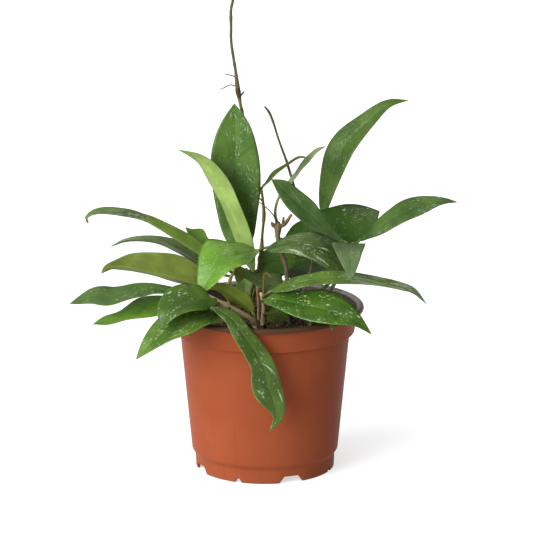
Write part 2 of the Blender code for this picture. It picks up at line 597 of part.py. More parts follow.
def stalk_start(curve, stems):
    """Where the leaf stalk starts: the last place at which its end would touch a stem."""
    start = 0.0
    where = np.arange(0.0, 14.0, 0.1)
    mids = points_at(curve, where)
    tangents = directions(curve, where)
    for s, p, t in zip(where, mids, tangents):
        u = np.cross(t, (0.0, 0.0, 1.0))
        u = u / np.linalg.norm(u)
        v = np.cross(t, u)
        turns = [math.tau * i / 10 for i in range(10)]
        ring = [p + STALK_RADIUS * k * (math.cos(a) * u + math.sin(a) * v) for a in turns for k in (1, 0.5)]
        ring = np.array(ring + [p])
        gap = min(np.min(np.linalg.norm(c[:, None] - ring, axis=2) - r[:, None]) for c, r in stems)
        if gap < STALK_GAP:
            start = s + 0.1
    return start


def wave(t, side, number):
    """The margin's wave, other on each side and for each leaf."""
    count = 1.6 + 0.35 * (number % 4)
    phase = 1.7 * number + (2.1 if side > 0 else 0.0)
    return RIPPLE * np.sin(math.tau * count * t + phase) * np.sin(math.pi * t)


def blade_rings(curve, stalk, sizes, faces, fold, hollow, number):
    """The blade's sections: the upper face across, then the lower face back."""
    total = distances(curve)[-1]
    where = np.linspace(stalk, total, BLADE_STEPS + 1)
    t = (where - stalk) / (total - stalk)
    mids = points_at(curve, where)
    tangents = directions(curve, where)
    up = square_to(upper_side(t, faces), tangents)
    side = np.cross(tangents, up)
    bend = math.radians(fold)
    upper = []
    lower = []
    for u in ACROSS:
        half = half_width(t, side_sizes(sizes, u))
        lift = abs(u) * half * math.sin(bend) - hollow * u * u * half
        lift = lift + wave(t, u, number) * u * u * np.minimum(half / 9.0, 1.3)
        middle = mids + side * (u * half * math.cos(bend))[:, None] + up * lift[:, None]
        thick = BLADE_THICK * (0.5 - 0.12 * u * u) * np.where(t > 0.999, 0.8, 1.0)
        upper.append(middle + up * thick[:, None])
        lower.append(middle - up * thick[:, None])
    return np.stack(upper + lower[::-1], axis=1), up[0]


def stalk_rings(curve, start, stalk, up):
    """The round sections of the leaf stalk."""
    where = np.linspace(start, stalk, STALK_STEPS + 1)[:-1]
    mids = points_at(curve, where)
    tangents = directions(curve, where)
    ups = square_to(np.repeat(up[None], len(where), axis=0), tangents)
    side = np.cross(tangents, ups)
    turns = [math.radians(a) for a in (162, 126, 90, 54, 18, 342, 306, 270, 234, 198)]
    rings = [mids + STALK_RADIUS * (math.cos(a) * side + math.sin(a) * ups) for a in turns]
    return np.stack(rings, axis=1)


def loft_faces(rings):
    """Triangles between the sections, split alike on the upper and the lower face, with end caps."""
    count, around = rings.shape[:2]
    faces = []
    for i in range(count - 1):
        for j in range(around):
            a = i * around + j
            b = i * around + (j + 1) % around
            c = b + around
            d = a + around
            faces += [(a, b, d), (b, c, d)] if j >= around // 2 else [(a, b, c), (a, c, d)]
    last = (count - 1) * around
    faces += [(0, j + 1, j) for j in range(1, around - 1)]
    faces += [(last, last + j, last + j + 1) for j in range(1, around - 1)]
    return faces


def outward(points, faces):
    """The faces turned so that the solid's volume is positive."""
    v = np.array(points)
    f = np.array(faces)
    volume = np.einsum("ij,ij->i", v[f[:, 0]], np.cross(v[f[:, 1]], v[f[:, 2]])).sum()
    return [tuple(int(i) for i in (row if volume > 0 else row[::-1])) for row in f]


def build_leaf(name, number, group, stems):
    """One leaf as one closed loft from its stalk to its tip."""
    rib, sizes, faces, stalk, fold, hollow = LEAVES[name]
    curve = smooth_curve(rib, 24)
    blade, up = blade_rings(curve, stalk, sizes, faces, fold, hollow, number)
    start = min(stalk_start(curve, stems), stalk - 1.5)
    rings = np.concatenate([stalk_rings(curve, start, stalk, up), blade])
    points = rings.reshape(-1, 3)
    leaf = mesh_object(name, points, outward(points, loft_faces(rings)), group)
    leaf.data.shade_smooth()
    return leaf


def paint(item, kind, rough):
    """Give the piece its own material."""
    colour = COLOURS.get(item.name, COLOURS[kind])
    item.data.materials.clear()
    item.data.materials.append(material(item.name, colour, rough))


def main():
    """Build every piece."""
    clear_scene()
    group = new_collection(OBJECT_NAME)
    cutters = new_collection("cutters")
    stems, feet = build_stems(group, cutters)
    for name in STEMS:
        paint(group.objects[name], "stem", 0.7)
    paint(build_pot(group, cutters), "pot", 0.55)
    paint(build_soil(group, cutters, feet), "soil", 0.95)
    for number, name in enumerate(LEAVES):
        paint(build_leaf(name, number, group, stems), "leaf", 0.4)


main()
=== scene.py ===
"""Looks of the potted hoya plant: leaves, stems, pot and soil in detail, floor, light and camera.

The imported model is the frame. Every CAD node is replaced by a finer piece of the same form,
made from the same sizes in millimetres. The leaf and stem tables are those of the part.
"""
import json
import math
import random

import bpy
import numpy as np
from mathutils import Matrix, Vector, noise


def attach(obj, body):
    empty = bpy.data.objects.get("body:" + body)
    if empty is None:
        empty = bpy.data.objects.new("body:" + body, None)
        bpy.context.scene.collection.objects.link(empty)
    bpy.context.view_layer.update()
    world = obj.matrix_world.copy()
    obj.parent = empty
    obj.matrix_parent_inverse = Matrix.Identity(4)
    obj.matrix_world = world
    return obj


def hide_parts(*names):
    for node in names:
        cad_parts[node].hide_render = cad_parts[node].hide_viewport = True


MM = 0.001

# The photograph's camera: the picture's side in pixels, millimetres on the object for one
# pixel, distance, tilt in degrees, the point it looks at, and the sensor's width.
IMAGE_SIDE = 533
MM_PER_PIXEL = 0.786
CAMERA_DISTANCE = 3000.0
CAMERA_TILT = 14.4
CAMERA_TARGET = (1.2, 0.0, 161.8)
SENSOR = 36.0

# The pot. A notch has its mouth's and its top's width in degrees, and its height. The first
# rows of the foot ring's profile are its outer side. The lip turns from dark brown in front to
# pale grey behind between two places along Y, in metres; the grey is partly dust and partly a
# painted highlight.
LIP_RADIUS = 78.0
LIP_TOP = 131.4
LIP_HALF_WIDTH = 2.6
LIP_HALF_HEIGHT = 2.2
COLLAR_TOP_RADIUS = 73.0
COLLAR_FOOT_RADIUS = 70.7
COLLAR_FOOT = 110.4
BODY_TOP_RADIUS = 67.0
BODY_FOOT_RADIUS = 57.8
BODY_FOOT = 15.2
FOOT_RADIUS = 55.3
FOOT_TOP = 11.4
FOOT_OUTER_ROWS = 7
WALL = 1.6
FLOOR_UNDER = 7.0
FLOOR_TOP = 8.6
WIDE_NOTCH = (21.0, 12.5, 5.2)
NARROW_NOTCH = (6.0, 1.8, 3.2)
NOTCHES = [(middle + 90 * quarter - 90, *notch) for quarter in range(4)
           for middle, notch in ((22.5, WIDE_NOTCH), (-22.5, NARROW_NOTCH))]
DRAIN_RADIUS = 4.5
DRAIN_CIRCLE = 36.0
DRAINS = 6
DRAIN_SIDES = 32
POT_TURN_STEP = 1.875
POT_SHARP = 48.0
LIP_BROWN_TO_GREY = (-0.045, 0.01)

# The soil, whose top falls from the middle out to a radius, and its loose chips: shares, limits
# of size and of length for its four kinds, bark, crumb, earth and pale grain. Grains are as long
# as wide.
SOIL_EDGE = 114.3
SOIL_MIDDLE = 115.2
SOIL_RADIUS = 68.4
SOIL_FALL = 60.0
SOIL_RINGS = 46
LUMP_SCALE = 0.055
LUMP_HEIGHT = 1.5
LUMP_SINK = 0.6
SOIL_SIDES = 120
CHIPS = 1500
CHIP_SHARES = (0.42, 0.33, 0.2, 0.05)
CHIP_SIZES = ((2.6, 6.0), (1.6, 4.2), (1.0, 2.4), (1.2, 2.6))
CHIP_LENGTHS = ((1.3, 2.4), (1.0, 1.8), (1.0, 1.3))
CHIP_RINGS = 4
CHIP_SIDES = 6
CHIP_SHARP = 35.0
CHIP_SEED = 7

# The leaves and stems. Each leaf's and stem's noise starts at another place. Veins lean forward
# from the midrib, and stems swell a little where old leaves sat.
STALK_RADIUS = 1.1
BLADE_STEPS = 54
STALK_STEPS = 12
ACROSS_STEPS = 21
LEAF_CURVE_STEPS = 24
RIPPLE = 0.5
LEAF_OFFSET = 61.0
BLADE_HALF_THICK = 0.34
MARGIN_LOSS = 0.22
GROOVE_DEPTH = 0.2
KEEL_DEPTH = 0.6
VEIN_PITCH = 7.0
VEIN_LEAN = 0.85
STEM_SIDES = 16
STEM_STEP = 1.6
STEM_CURVE_STEPS = 16
STEM_SINKS = (1.5, 9.0)
STEM_OFFSET = 9
PLACE_WIDTH = 1.5
NODE_PITCH = 33.0
NODE_PITCH_CHANGE = 5.0
NODE_SWELL = 0.22
NODE_HALF_LENGTH = 1.3
NODE_FREE_END = 6.0
STEM_LUMPS = 0.09
TWIG_LUMPS = 0.06

# The light: how much of a colour seen in it is the surface's own, and each lamp's direction in
# degrees from the front toward the right and up, strength and width.
OWN_SHARE = 0.365
POT_SHARE = 0.32
KEY_TURN = -54.0
KEY_RISE = 22.0
KEY_STRENGTH = 6.3
KEY_WIDTH = 56.0
FILL_TURN = -30.0
FILL_RISE = 15.0
FILL_STRENGTH = 1.8
FILL_WIDTH = 30.0
SKY_RISE = 55.0
SKY_DIM = 0.1
SKY_BRIGHT = 1.15
FLOOR_GREY = 0.45
FLOOR_GLOW = 0.6
FLOOR_HALF_SIDE = 30.0
FLOOR_HEIGHT = -0.0002

# Stems: points from the tip down to the foot, and a radius at each point.
STEMS = {
    "vine_long": (
        [(-25, 34, 384), (-25, 34, 368), (-26.5, 34, 361), (-26.5, 34, 346), (-26.5, 34, 336),
         (-24.7, 34, 322), (-23, 34, 311), (-21, 34, 294.5), (-20.2, 34, 290.5), (-19.4, 34, 285),
         (-17.5, 34, 277), (-13.5, 34, 240), (-11.5, 33, 207), (-10.5, 28, 168), (-12, 24, 136),
         (-12, 24, 118.5), (-12, 24, 110)],
        [1.1, 1.15, 1.15, 1.15, 1.15, 1.15, 1.2, 2.2, 1.6, 1.2, 1.15, 1.1, 1.15, 1.2, 1.2, 1.2,
         1.2]),
    "stem_dark": (
        [(-2.5, 0, 223), (-1.5, 0, 214), (-0.8, 0, 204), (-1.2, 0, 197), (-2.2, -0.5, 186),
         (-2.6, -2, 177), (-4, 0, 168), (-6.5, 4, 153), (-10.5, 6, 141), (-12, 6, 129),
         (-12, 6, 118.5), (-12, 6, 110)],
        [1.0, 1.1, 1.5, 1.1, 1.1, 1.8, 1.2, 1.2, 1.2, 1.2, 1.2, 1.2]),
    "stem_bare": (
        [(0, 14, 287), (3, 14, 283), (6, 14, 276), (11, 14, 260), (17, 14, 243), (20, 14, 233),
         (23, 14, 223), (30, 14, 204), (35, 12, 180), (37, 8, 163), (32, 6, 145), (29, 5, 133),
         (28, 5, 118.5), (28, 5, 110)],
        [0.7, 1.1, 0.9, 0.9, 1.0, 1.1, 0.95, 0.95, 0.95, 0.95, 0.95, 0.95, 0.95, 0.95]),
    "stem_stout": (
        [(10, 2, 196), (10, 2, 193), (10, 1, 185), (13, 0, 172), (16, 0, 164), (17, 0, 154),
         (19, 0, 135), (20, 0, 118.5), (20, 0, 110)],
        [2.2, 3.0, 1.9, 1.8, 1.8, 1.8, 1.8, 1.8, 1.8]),
    "stem_right_back": (
        [(47, 9, 186), (54, 7, 177), (59, 4, 164), (53, 2, 150), (46, 1, 144), (38, 0, 133),
         (34, 0, 118.5), (34, 0, 110)],
        [1.6, 1.2, 1.2, 1.2, 1.2, 1.2, 1.2, 1.2]),
    "stem_right": (
        [(69, -12, 183), (66, -12, 178), (63, -11, 168), (56, -10, 153), (51, -10, 145),
         (42, -10, 132), (36, -10, 118.5), (36, -10, 110)],
        [1.9, 2.0, 1.5, 1.5, 1.5, 1.5, 1.5, 1.5]),
    "stem_front": (
        [(-49, -47, 152), (-42, -45, 148), (-33, -38, 141.5), (-23, -29, 133.5), (-15, -21, 127),
         (-10, -15.5, 122), (-8, -12.5, 117.5), (-8, -12.5, 110)],
        [2.0, 2.1, 2.2, 2.3, 2.3, 2.1, 1.8, 1.8]),
    "stem_left": (
        [(-28, 10, 168), (-24, 7, 159), (-27, 5, 151), (-29, 3, 144), (-28, 2, 130),
         (-26, 2, 118.5), (-26, 2, 110)],
        [1.5, 1.3, 1.3, 1.3, 1.3, 1.3, 1.3]),
    "stem_crown": (
        [(-3, -28, 147), (-2, -27, 143), (-1, -22, 136), (-1, -13, 126), (-1.5, -8, 119),
         (-1.5, -7.5, 110)],
        [1.4, 1.5, 1.6, 2.0, 2.2, 2.2]),
    "stem_hooked": (
        [(5, -16, 157), (2, -15, 160), (0, -15, 160), (-1, -15, 151), (-1, -13, 141),
         (1, -6, 127), (3.5, -1, 118.5), (3.5, -1, 110)],
        [0.6, 0.9, 1.0, 0.9, 0.9, 0.9, 0.9, 0.9]),
    "stem_red": (
        [(-7, 8, 149), (-6, 6, 143), (-5, 5, 129), (-5, 5, 118.5), (-5, 5, 110)],
        [1.3, 1.2, 1.2, 1.2, 1.2]),
}

# Twigs fused into a stem: the stem, points and radii.
TWIGS = [
    ("vine_long", [(-23.7, 34, 307), (-28, 33.5, 308.5), (-32.5, 33, 309.5)], [0.5, 0.45, 0.3]),
    ("vine_long", [(-22, 34, 299), (-27, 33.5, 300.5), (-31, 33, 299), (-35.5, 32.5, 296.5)],
     [0.5, 0.45, 0.45, 0.3]),
    ("vine_long", [(-20, 34, 291), (-18, 34, 293), (-16.5, 34, 295)], [1.0, 0.8, 0.5]),
    ("stem_stout", [(10, 2, 193.5), (7, 1.5, 194.5), (5.5, 1, 196.5)], [1.9, 2.0, 1.2]),
    ("stem_stout", [(10, 2, 193), (15, 1.5, 195.5), (20.5, 1.5, 203)], [1.6, 1.6, 1.1]),
    ("stem_stout", [(14, 1.5, 195), (14.5, 0.5, 201)], [1.3, 0.9]),
    ("stem_stout", [(9, 1, 195), (7, -1.8, 203), (0, -2.6, 211), (-7, -2.2, 216)],
     [0.8, 0.5, 0.45, 0.35]),
    ("stem_dark", [(-1.5, 0, 214), (-4, -1, 217)], [0.8, 0.5]),
]

# Leaves: rib points from the stem to the tip, half-widths at a tenth, three, five, seven
# and nine tenths of the blade (five for both sides, or five for each), facing of the upper
# side as (turn from the front, tilt up) in degrees from base to tip, leaf stalk length,
# fold in degrees, and hollow.
LEAVES = {
    "leaf_left_arched": (
        [(-25, 6, 155), (-34, 10, 159), (-47, 13, 166), (-71, 15, 181.5), (-95, 18, 195),
         (-116, 20, 199), (-130, 20, 200), (-137, 20, 198.5), (-140.5, 20, 195.5),
         (-139.5, 20, 191.5)],
        (8.5, 10.5, 9.5, 9, 4.5), [(180, 50), (180, 66), (-20, 62)], 20, 27, 0),
    "leaf_left_folded": (
        [(-26, 6, 152), (-37, 12, 153), (-51, 18, 159), (-69, 20, 169), (-83, 22, 175),
         (-96, 23, 177), (-111, 24, 176), (-122, 24, 172)],
        (8, 11.5, 9.5, 6, 2.5), [(0, 89), (0, 89)], 20, 27, 0),
    "leaf_left_olive": (
        [(-28, 3, 144), (-40, 3, 143), (-51, 4, 146), (-71, 8, 151), (-92, 12, 155),
         (-111, 15, 158), (-124, 15.5, 157), (-129.5, 16, 152)],
        (16, 24, 23.5, 16, 4.5, 16, 24, 22, 17, 9.5), [(180, 50), (180, 45)], 10, 18, 0),
    "leaf_left_long": (
        [(-48, -48, 152), (-60, -48, 153), (-77, -48, 155), (-87, -48, 156), (-100, -49, 155),
         (-119, -50, 151), (-134, -50, 151), (-151, -50, 145)],
        (4.5, 9, 14, 16.5, 9, 4.5, 7.5, 9, 12, 5), [(0, 72), (0, 72)], 12, 8, 0),
    "leaf_left_blunt": (
        [(-46, -46, 150), (-52, -44, 144), (-62, -44, 142), (-81, -47, 142), (-90, -49, 141),
         (-104, -52, 138), (-119, -54, 133), (-133, -56, 130)],
        (9, 14, 16, 13, 9, 9, 13, 14, 8, 7), [(0, 66), (0, 84)], 12, 8, 0),
    "leaf_speckled": (
        [(-38, -41, 145), (-40, -52, 149), (-51, -59, 151), (-64, -68, 150), (-74, -77, 145),
         (-80, -82, 133)],
        (11, 17.5, 19, 13, 5), [(-20, 55), (-40, 40)], 11, 8, 0),
    "leaf_left_drooping": (
        [(-28, -33, 138), (-28, -46, 136), (-36, -58, 137), (-49, -66, 139), (-72, -73, 132),
         (-87, -78, 122), (-99, -81, 109)],
        (9, 15, 17.5, 14, 5.5, 9, 14, 15.5, 12.5, 5), [(-25, 65), (-25, 55)], 16, 8, 0),
    "leaf_bright_bent": (
        [(-2, -2, 177), (-8, -9, 176), (-19, -20, 177), (-27, -27, 176), (-36, -33, 172),
         (-44, -38, 161), (-51, -40, 148.5)],
        (5, 16, 17, 14.5, 6.5, 9, 14.5, 24, 15, 7), [(-10, 50), (-50, 20)], 5, 11, 0),
    "leaf_pale_upright": (
        [(-7, 8, 147), (-9, 9, 155), (-12, 9, 163), (-18, 9, 183), (-28, 9, 208),
         (-38, 10, 228), (-50, 12, 244), (-68, 13, 253)],
        (6, 10.5, 12.5, 12, 6), [(150, 5), (135, 24), (160, 55)], 8, 8, 0),
    "leaf_tall_back": (
        [(-11, 25, 156), (-13, 19, 161), (-18, 19, 172), (-21, 24, 189), (-22, 26, 209),
         (-23, 27, 241), (-23, 27, 266), (-24, 27, 287)],
        (10.5, 16.5, 19.5, 19, 10, 10.5, 16.5, 19.5, 17.5, 8.8), [(0, 5), (0, 8)], 14, 8, 0),
    "leaf_small_back": (
        [(-25, 8, 162), (-34, 18, 162), (-42, 27, 166), (-53, 31, 176), (-63, 31, 186)],
        (5, 7, 6.5, 5, 2.5, 5, 8, 6.5, 9, 2), [(0, 50), (0, 50)], 18, 8, 0),
    "leaf_thin_top": (
        [(-11, 32, 197), (-7, 34, 201), (-5, 30, 212), (-2, 26, 220), (4, 21, 227),
         (9, 14, 234), (17, 6, 242), (27, 2, 249), (34, 0, 249)],
        (2.2, 3.5, 4, 3.2, 1.8), [(0, 85), (0, 85)], 30, 25, 0),
    "leaf_slim_grey": (
        [(10, 2, 195), (8, 3, 205), (11, 4, 217), (20, 5, 229), (25, 5, 235), (30, 6, 242),
         (36, 6, 249), (41, 6, 254), (47, 6, 257)],
        (3, 4.8, 5.2, 5, 3, 3, 6, 7.5, 7, 4), [(-78, 20), (-76, 35)], 24, 8, 0),
    "leaf_tall_right": (
        [(47, 10, 184), (47, 15, 194), (47, 18, 204), (53, 18, 231), (62, 19, 255),
         (80, 20, 274), (97, 20, 288), (112, 20, 291)],
        (7.5, 13, 14, 9.5, 3.8, 6.5, 13, 16, 11, 4), [(-50, 5), (-50, 32), (-10, 60)], 15, 8, 0),
    "leaf_upper_front": (
        [(68, -12, 181), (64, -16, 185), (59, -19, 188), (45, -28, 202), (26, -32, 220),
         (12, -34, 234), (5, -34, 240)],
        (4.5, 10, 16, 17, 8.5, 4.5, 9, 13, 13.5, 8), [(50, 46), (50, 46)], 10, 5, 0),
    "leaf_middle_back": (
        [(10, 1, 184), (20, 1, 184), (32, 2, 187), (49, 1, 192), (68, 5, 196), (79, 6, 200),
         (90, 6, 205)],
        (10, 15, 17, 16.5, 8, 7, 13, 17, 17, 10), [(0, 50), (0, 30)], 4.5, 2, 0),
    "leaf_far_right": (
        [(69, -12, 182), (76, -18, 189), (85, -23, 197), (99, -25, 207), (111, -26, 214),
         (130, -26, 220), (140, -26, 221), (149, -26, 220)],
        (4.5, 9.5, 12, 10.5, 4, 6, 13.5, 16, 14, 5.5), [(-20, 60), (0, 76)], 8, 6, 0),
    "leaf_domed": (
        [(-2, -2, 177), (2, -7, 179), (12, -13, 183), (30, -22, 187), (47, -28, 182),
         (58, -31, 171), (63, -31, 156)],
        (10, 14.5, 17, 15, 6, 8, 12.5, 14.5, 13.5, 6), [(0, 65), (0, 65), (30, 35)], 5.5, 5, 0.2),
    "leaf_hanging_grey": (
        [(68, -12, 179), (67, -24, 186), (66, -37, 189), (66, -49, 187), (66, -59, 180),
         (66.5, -66, 168)],
        (10.5, 11.5, 9.5, 7, 3, 12, 14, 12, 8, 3.5), [(0, 75), (0, 20)], 16, 2, 0),
    "leaf_long_right": (
        [(-2, -28, 144), (2, -30, 148), (10, -35, 153), (19, -41, 157.5), (36, -48, 163.5),
         (52, -51, 166), (73, -51, 165), (90, -50, 162), (106, -48, 158), (115, -47, 154.5),
         (125, -46, 144)],
        (7.5, 8.5, 8, 6.5, 4), [(0, 62), (0, 68), (0, 72)], 10, 3, 0),
    "leaf_over_rim": (
        [(-2, -26, 141), (0, -35, 144), (12, -43, 146), (27, -53, 145), (43, -61, 144),
         (54, -65, 142), (65, -68, 139), (72, -69, 135), (82, -70, 126)],
        (8, 14.5, 17.5, 13.5, 4), [(0, 60), (10, 55)], 9, 8, 0),
    "leaf_rear": (
        [(30, 5, 136), (27, 9, 144), (30, 22, 148), (37, 40, 149), (47, 62, 149), (58, 88, 146)],
        (11, 17.5, 20, 16, 7, 9, 15, 16, 13, 6), [(-20, 50), (0, 62)], 12, 5, 0),
    "leaf_front_hanging": (
        [(-36, -40, 144), (-36, -53, 141), (-38, -64, 143), (-41, -71, 147), (-39, -75, 148),
         (-33, -77, 145), (-26, -79, 141), (-17, -82, 129), (-7, -83, 115), (-1, -82, 103),
         (2, -81, 89), (7, -80, 74), (9, -79, 63), (4, -77, 50)],
        (5, 7.5, 8.5, 10, 5, 5, 9, 10.5, 13, 2.5), [(10, 60), (15, 15), (15, 0)], 36, 8, 0),
    "leaf_shaded": (
        [(-11, 25, 150), (-6, 19, 154), (-1, 15, 159), (9, 15, 161), (22, 16, 162), (36, 17, 164)],
        (9, 13, 13, 9, 5, 9, 14, 13, 5.5, 3), [(0, 45), (0, 45)], 10, 8, 0),
    "leaf_inner_dark": (
        [(19, 0, 141), (12, -4, 145), (2, -5, 149), (-8, -5, 153), (-13, -5, 157), (-15, -4, 162)],
        (7, 8, 7.5, 5, 2.5, 11, 11, 8, 5.5, 2.5), [(0, 50), (0, 50)], 5.5, 8, 0),
    "leaf_inside_pot": (
        [(-1, -15, 127), (3, -19, 129), (9, -24, 131), (18, -28, 127)],
        (7, 11, 11, 9, 5), [(0, 50), (0, 40)], 6, 8, 0),
    "leaf_young": (
        [(-12, 6, 123), (-14, 8.5, 127), (-15.5, 10.5, 135), (-16, 11.5, 149)],
        (5, 8, 9, 8, 4, 4, 6, 7.5, 8, 4), [(0, 15), (0, 25)], 5, 8, 0),
    "leaf_crown_olive": (
        [(-7, -13, 121), (-10, -14, 129), (-24, -20, 143), (-43, -26, 156)],
        (5, 9, 10, 8, 4), [(180, 50), (180, 50)], 8, 8, 0),
    "leaf_shoot": (
        [(-5, 5, 129), (-7, 11, 133), (-13, 18, 142), (-20, 18, 152), (-25, 16, 159)],
        (3, 5.5, 6.5, 6, 3), [(0, 15), (0, 30)], 7, 8, 0),
    "leaf_rim_tip": (
        [(40, -10, 129), (45, -26, 137), (49, -46, 140), (51, -62, 139), (52, -70, 128)],
        (3, 5, 5, 3.5, 2), [(0, 60), (0, 20)], 20, 8, 0),
}

# What each leaf looks like: upper side's colour in light and in deep parts, strength of the
# pale flecks, lower side's colour, roughness, and the leaf stalk's colour.
GREEN_STALK = (96, 112, 58)
TAN_STALK = (158, 140, 92)
BROWN_STALK = (104, 78, 54)
LEAF_LOOKS = {
    "leaf_left_arched": ((134, 158, 96), (100, 128, 66), 0.9, (120, 148, 62), 0.36, GREEN_STALK),
    "leaf_left_folded": ((142, 164, 106), (114, 136, 84), 0.1, (132, 156, 78), 0.4, GREEN_STALK),
    "leaf_left_olive": ((96, 126, 44), (74, 104, 34), 0.3, (134, 154, 62), 0.5, GREEN_STALK),
    "leaf_left_long": ((88, 124, 50), (70, 104, 38), 0.5, (110, 132, 60), 0.36, BROWN_STALK),
    "leaf_left_blunt": ((118, 170, 40), (94, 144, 32), 0.15, (116, 146, 58), 0.36, BROWN_STALK),
    "leaf_speckled": ((86, 120, 36), (66, 98, 28), 1.0, (106, 128, 54), 0.38, BROWN_STALK),
    "leaf_left_drooping": ((102, 140, 48), (80, 118, 38), 0.8, (114, 140, 58), 0.36, GREEN_STALK),
    "leaf_bright_bent": ((124, 172, 54), (98, 150, 38), 0.45, (152, 180, 84), 0.3, TAN_STALK),
    "leaf_pale_upright": ((132, 170, 80), (106, 146, 60), 0.2, (170, 202, 108), 0.46, TAN_STALK),
    "leaf_tall_back": ((102, 140, 56), (78, 118, 42), 0.65, (126, 152, 74), 0.38, GREEN_STALK),
    "leaf_small_back": ((136, 184, 68), (110, 156, 54), 0.2, (120, 150, 60), 0.4, GREEN_STALK),
    "leaf_thin_top": ((114, 138, 68), (90, 116, 52), 0.1, (128, 152, 74), 0.42, GREEN_STALK),
    "leaf_slim_grey": ((138, 155, 104), (106, 127, 80), 0.3, (138, 154, 104), 0.4, GREEN_STALK),
    "leaf_tall_right": ((86, 116, 44), (66, 98, 32), 0.35, (96, 122, 54), 0.36, GREEN_STALK),
    "leaf_upper_front": ((124, 166, 88), (98, 136, 66), 0.3, (150, 174, 96), 0.36, GREEN_STALK),
    "leaf_middle_back": ((60, 92, 28), (45, 73, 22), 0.35, (78, 106, 38), 0.4, GREEN_STALK),
    "leaf_far_right": ((86, 118, 46), (62, 92, 32), 0.6, (102, 126, 58), 0.34, GREEN_STALK),
    "leaf_domed": ((86, 114, 48), (64, 90, 38), 0.6, (104, 128, 62), 0.34, BROWN_STALK),
    "leaf_hanging_grey": ((102, 128, 76), (84, 110, 60), 0.3, (112, 136, 84), 0.4, GREEN_STALK),
    "leaf_long_right": ((102, 134, 52), (82, 112, 40), 0.7, (122, 144, 80), 0.36, GREEN_STALK),
    "leaf_over_rim": ((82, 126, 32), (62, 102, 24), 1.3, (108, 132, 56), 0.36, TAN_STALK),
    "leaf_rear": ((68, 112, 22), (50, 90, 16), 0.5, (84, 116, 34), 0.38, GREEN_STALK),
    "leaf_front_hanging": ((98, 130, 52), (76, 106, 38), 0.5, (116, 142, 70), 0.36, TAN_STALK),
    "leaf_shaded": ((92, 134, 36), (70, 110, 26), 0.2, (100, 128, 46), 0.42, GREEN_STALK),
    # leaf_inner_dark, leaf_young and leaf_crown_olive are paler than their own green: painted light
    # against the crown's shade.
    "leaf_inner_dark": ((132, 160, 92), (106, 134, 74), 0.3, (118, 142, 76), 0.34, GREEN_STALK),
    "leaf_inside_pot": ((78, 98, 18), (60, 78, 14), 0.2, (100, 118, 40), 0.45, GREEN_STALK),
    "leaf_young": ((216, 250, 150), (190, 238, 120), 0.1, (190, 232, 120), 0.3, TAN_STALK),
    "leaf_crown_olive": ((150, 172, 66), (120, 142, 50), 0.1, (184, 208, 88), 0.45, TAN_STALK),
    "leaf_shoot": ((146, 164, 66), (120, 138, 54), 0.0, (166, 194, 98), 0.35, TAN_STALK),
    "leaf_rim_tip": ((70, 98, 28), (54, 82, 22), 0.2, (96, 118, 46), 0.4, GREEN_STALK),
}

# Large splashes on the upper side: a line's two ends across and along the blade and half its
# width, in millimetres.
SPLASHES = {
    "leaf_front_hanging": [
        (0, 96, -7, 107, 0.8), (-6, 121, -6.4, 132, 0.7), (8.8, 116, 8, 117.5, 0.9),
        (7.8, 118.6, 5.8, 119, 1.0), (7, 121, 6.6, 122.6, 0.9), (6.6, 108, 5.6, 109.6, 0.6),
        (3.6, 110.4, 3, 112, 0.6)],
    "leaf_domed": [
        (8.5, 28, 13, 46, 1.2), (3, 41, 1.3, 48, 0.7), (1, 52, -1.5, 61, 0.9),
        (11, 54, 9, 70, 0.9)],
    "leaf_upper_front": [(5.5, 76, 2.5, 57, 0.5)],
}

# Colours that several leaves share.
FLECK = (206, 222, 186)
YELLOW_FLECK = (218, 230, 166)
# Pale streaks, on some leaves partly a painted sheen.
WASH_AND_SHEEN_TONE = (190, 204, 168)
MOTTLE = (72, 98, 58)
RIM_YELLOW = (214, 206, 84)

# What single leaves have of their own: the upper side's specular level, how strongly the midrib
# stands out, a pale streaky wash, on the bright bent and the domed leaf partly a painted sheen
# (its start and full place along the blade, and strength), grey mottling below (start and full
# place), yellowish flecks, a pale rim where others have a dark one, and a yellow rim (its side and
# strength).
GLOSS = {"leaf_bright_bent": 0.18, "leaf_young": 0.4, "leaf_domed": 0.25, "leaf_over_rim": 0.25,
         "leaf_middle_back": 0.08, "leaf_rear": 0.08, "leaf_tall_right": 0.1}
USUAL_GLOSS = 0.15
MIDRIB = {"leaf_pale_upright": 0.03, "leaf_middle_back": 0.0, "leaf_hanging_grey": 0.0,
          "leaf_left_olive": 0.06, "leaf_crown_olive": 0.05, "leaf_bright_bent": 0.05}
USUAL_MIDRIB = 0.1
# On leaf_bright_bent and leaf_domed the pale streaks are partly a painted sheen.
WASH_AND_SHEEN = {"leaf_bright_bent": (0.62, 0.35, 0.22), "leaf_long_right": (0.4, 0.62, 0.75),
        "leaf_domed": (0.5, 0.25, 0.14), "leaf_left_long": (0.2, 0.6, 0.06),
        "leaf_left_folded": (0.1, 0.3, 0.15), "leaf_hanging_grey": (0.0, 0.1, 0.07)}
MOTTLED_BELOW = {"leaf_left_arched": (0.45, 0.62)}
YELLOW_FLECKED = ("leaf_over_rim", "leaf_left_drooping")
PALE_RIM = ("leaf_front_hanging", "leaf_over_rim", "leaf_speckled", "leaf_left_drooping",
            "leaf_left_long", "leaf_left_folded")
YELLOW_RIM = {"leaf_bright_bent": (-1.0, 0.6), "leaf_front_hanging": (1.0, 0.12)}
RIM = (0.93, 0.99)

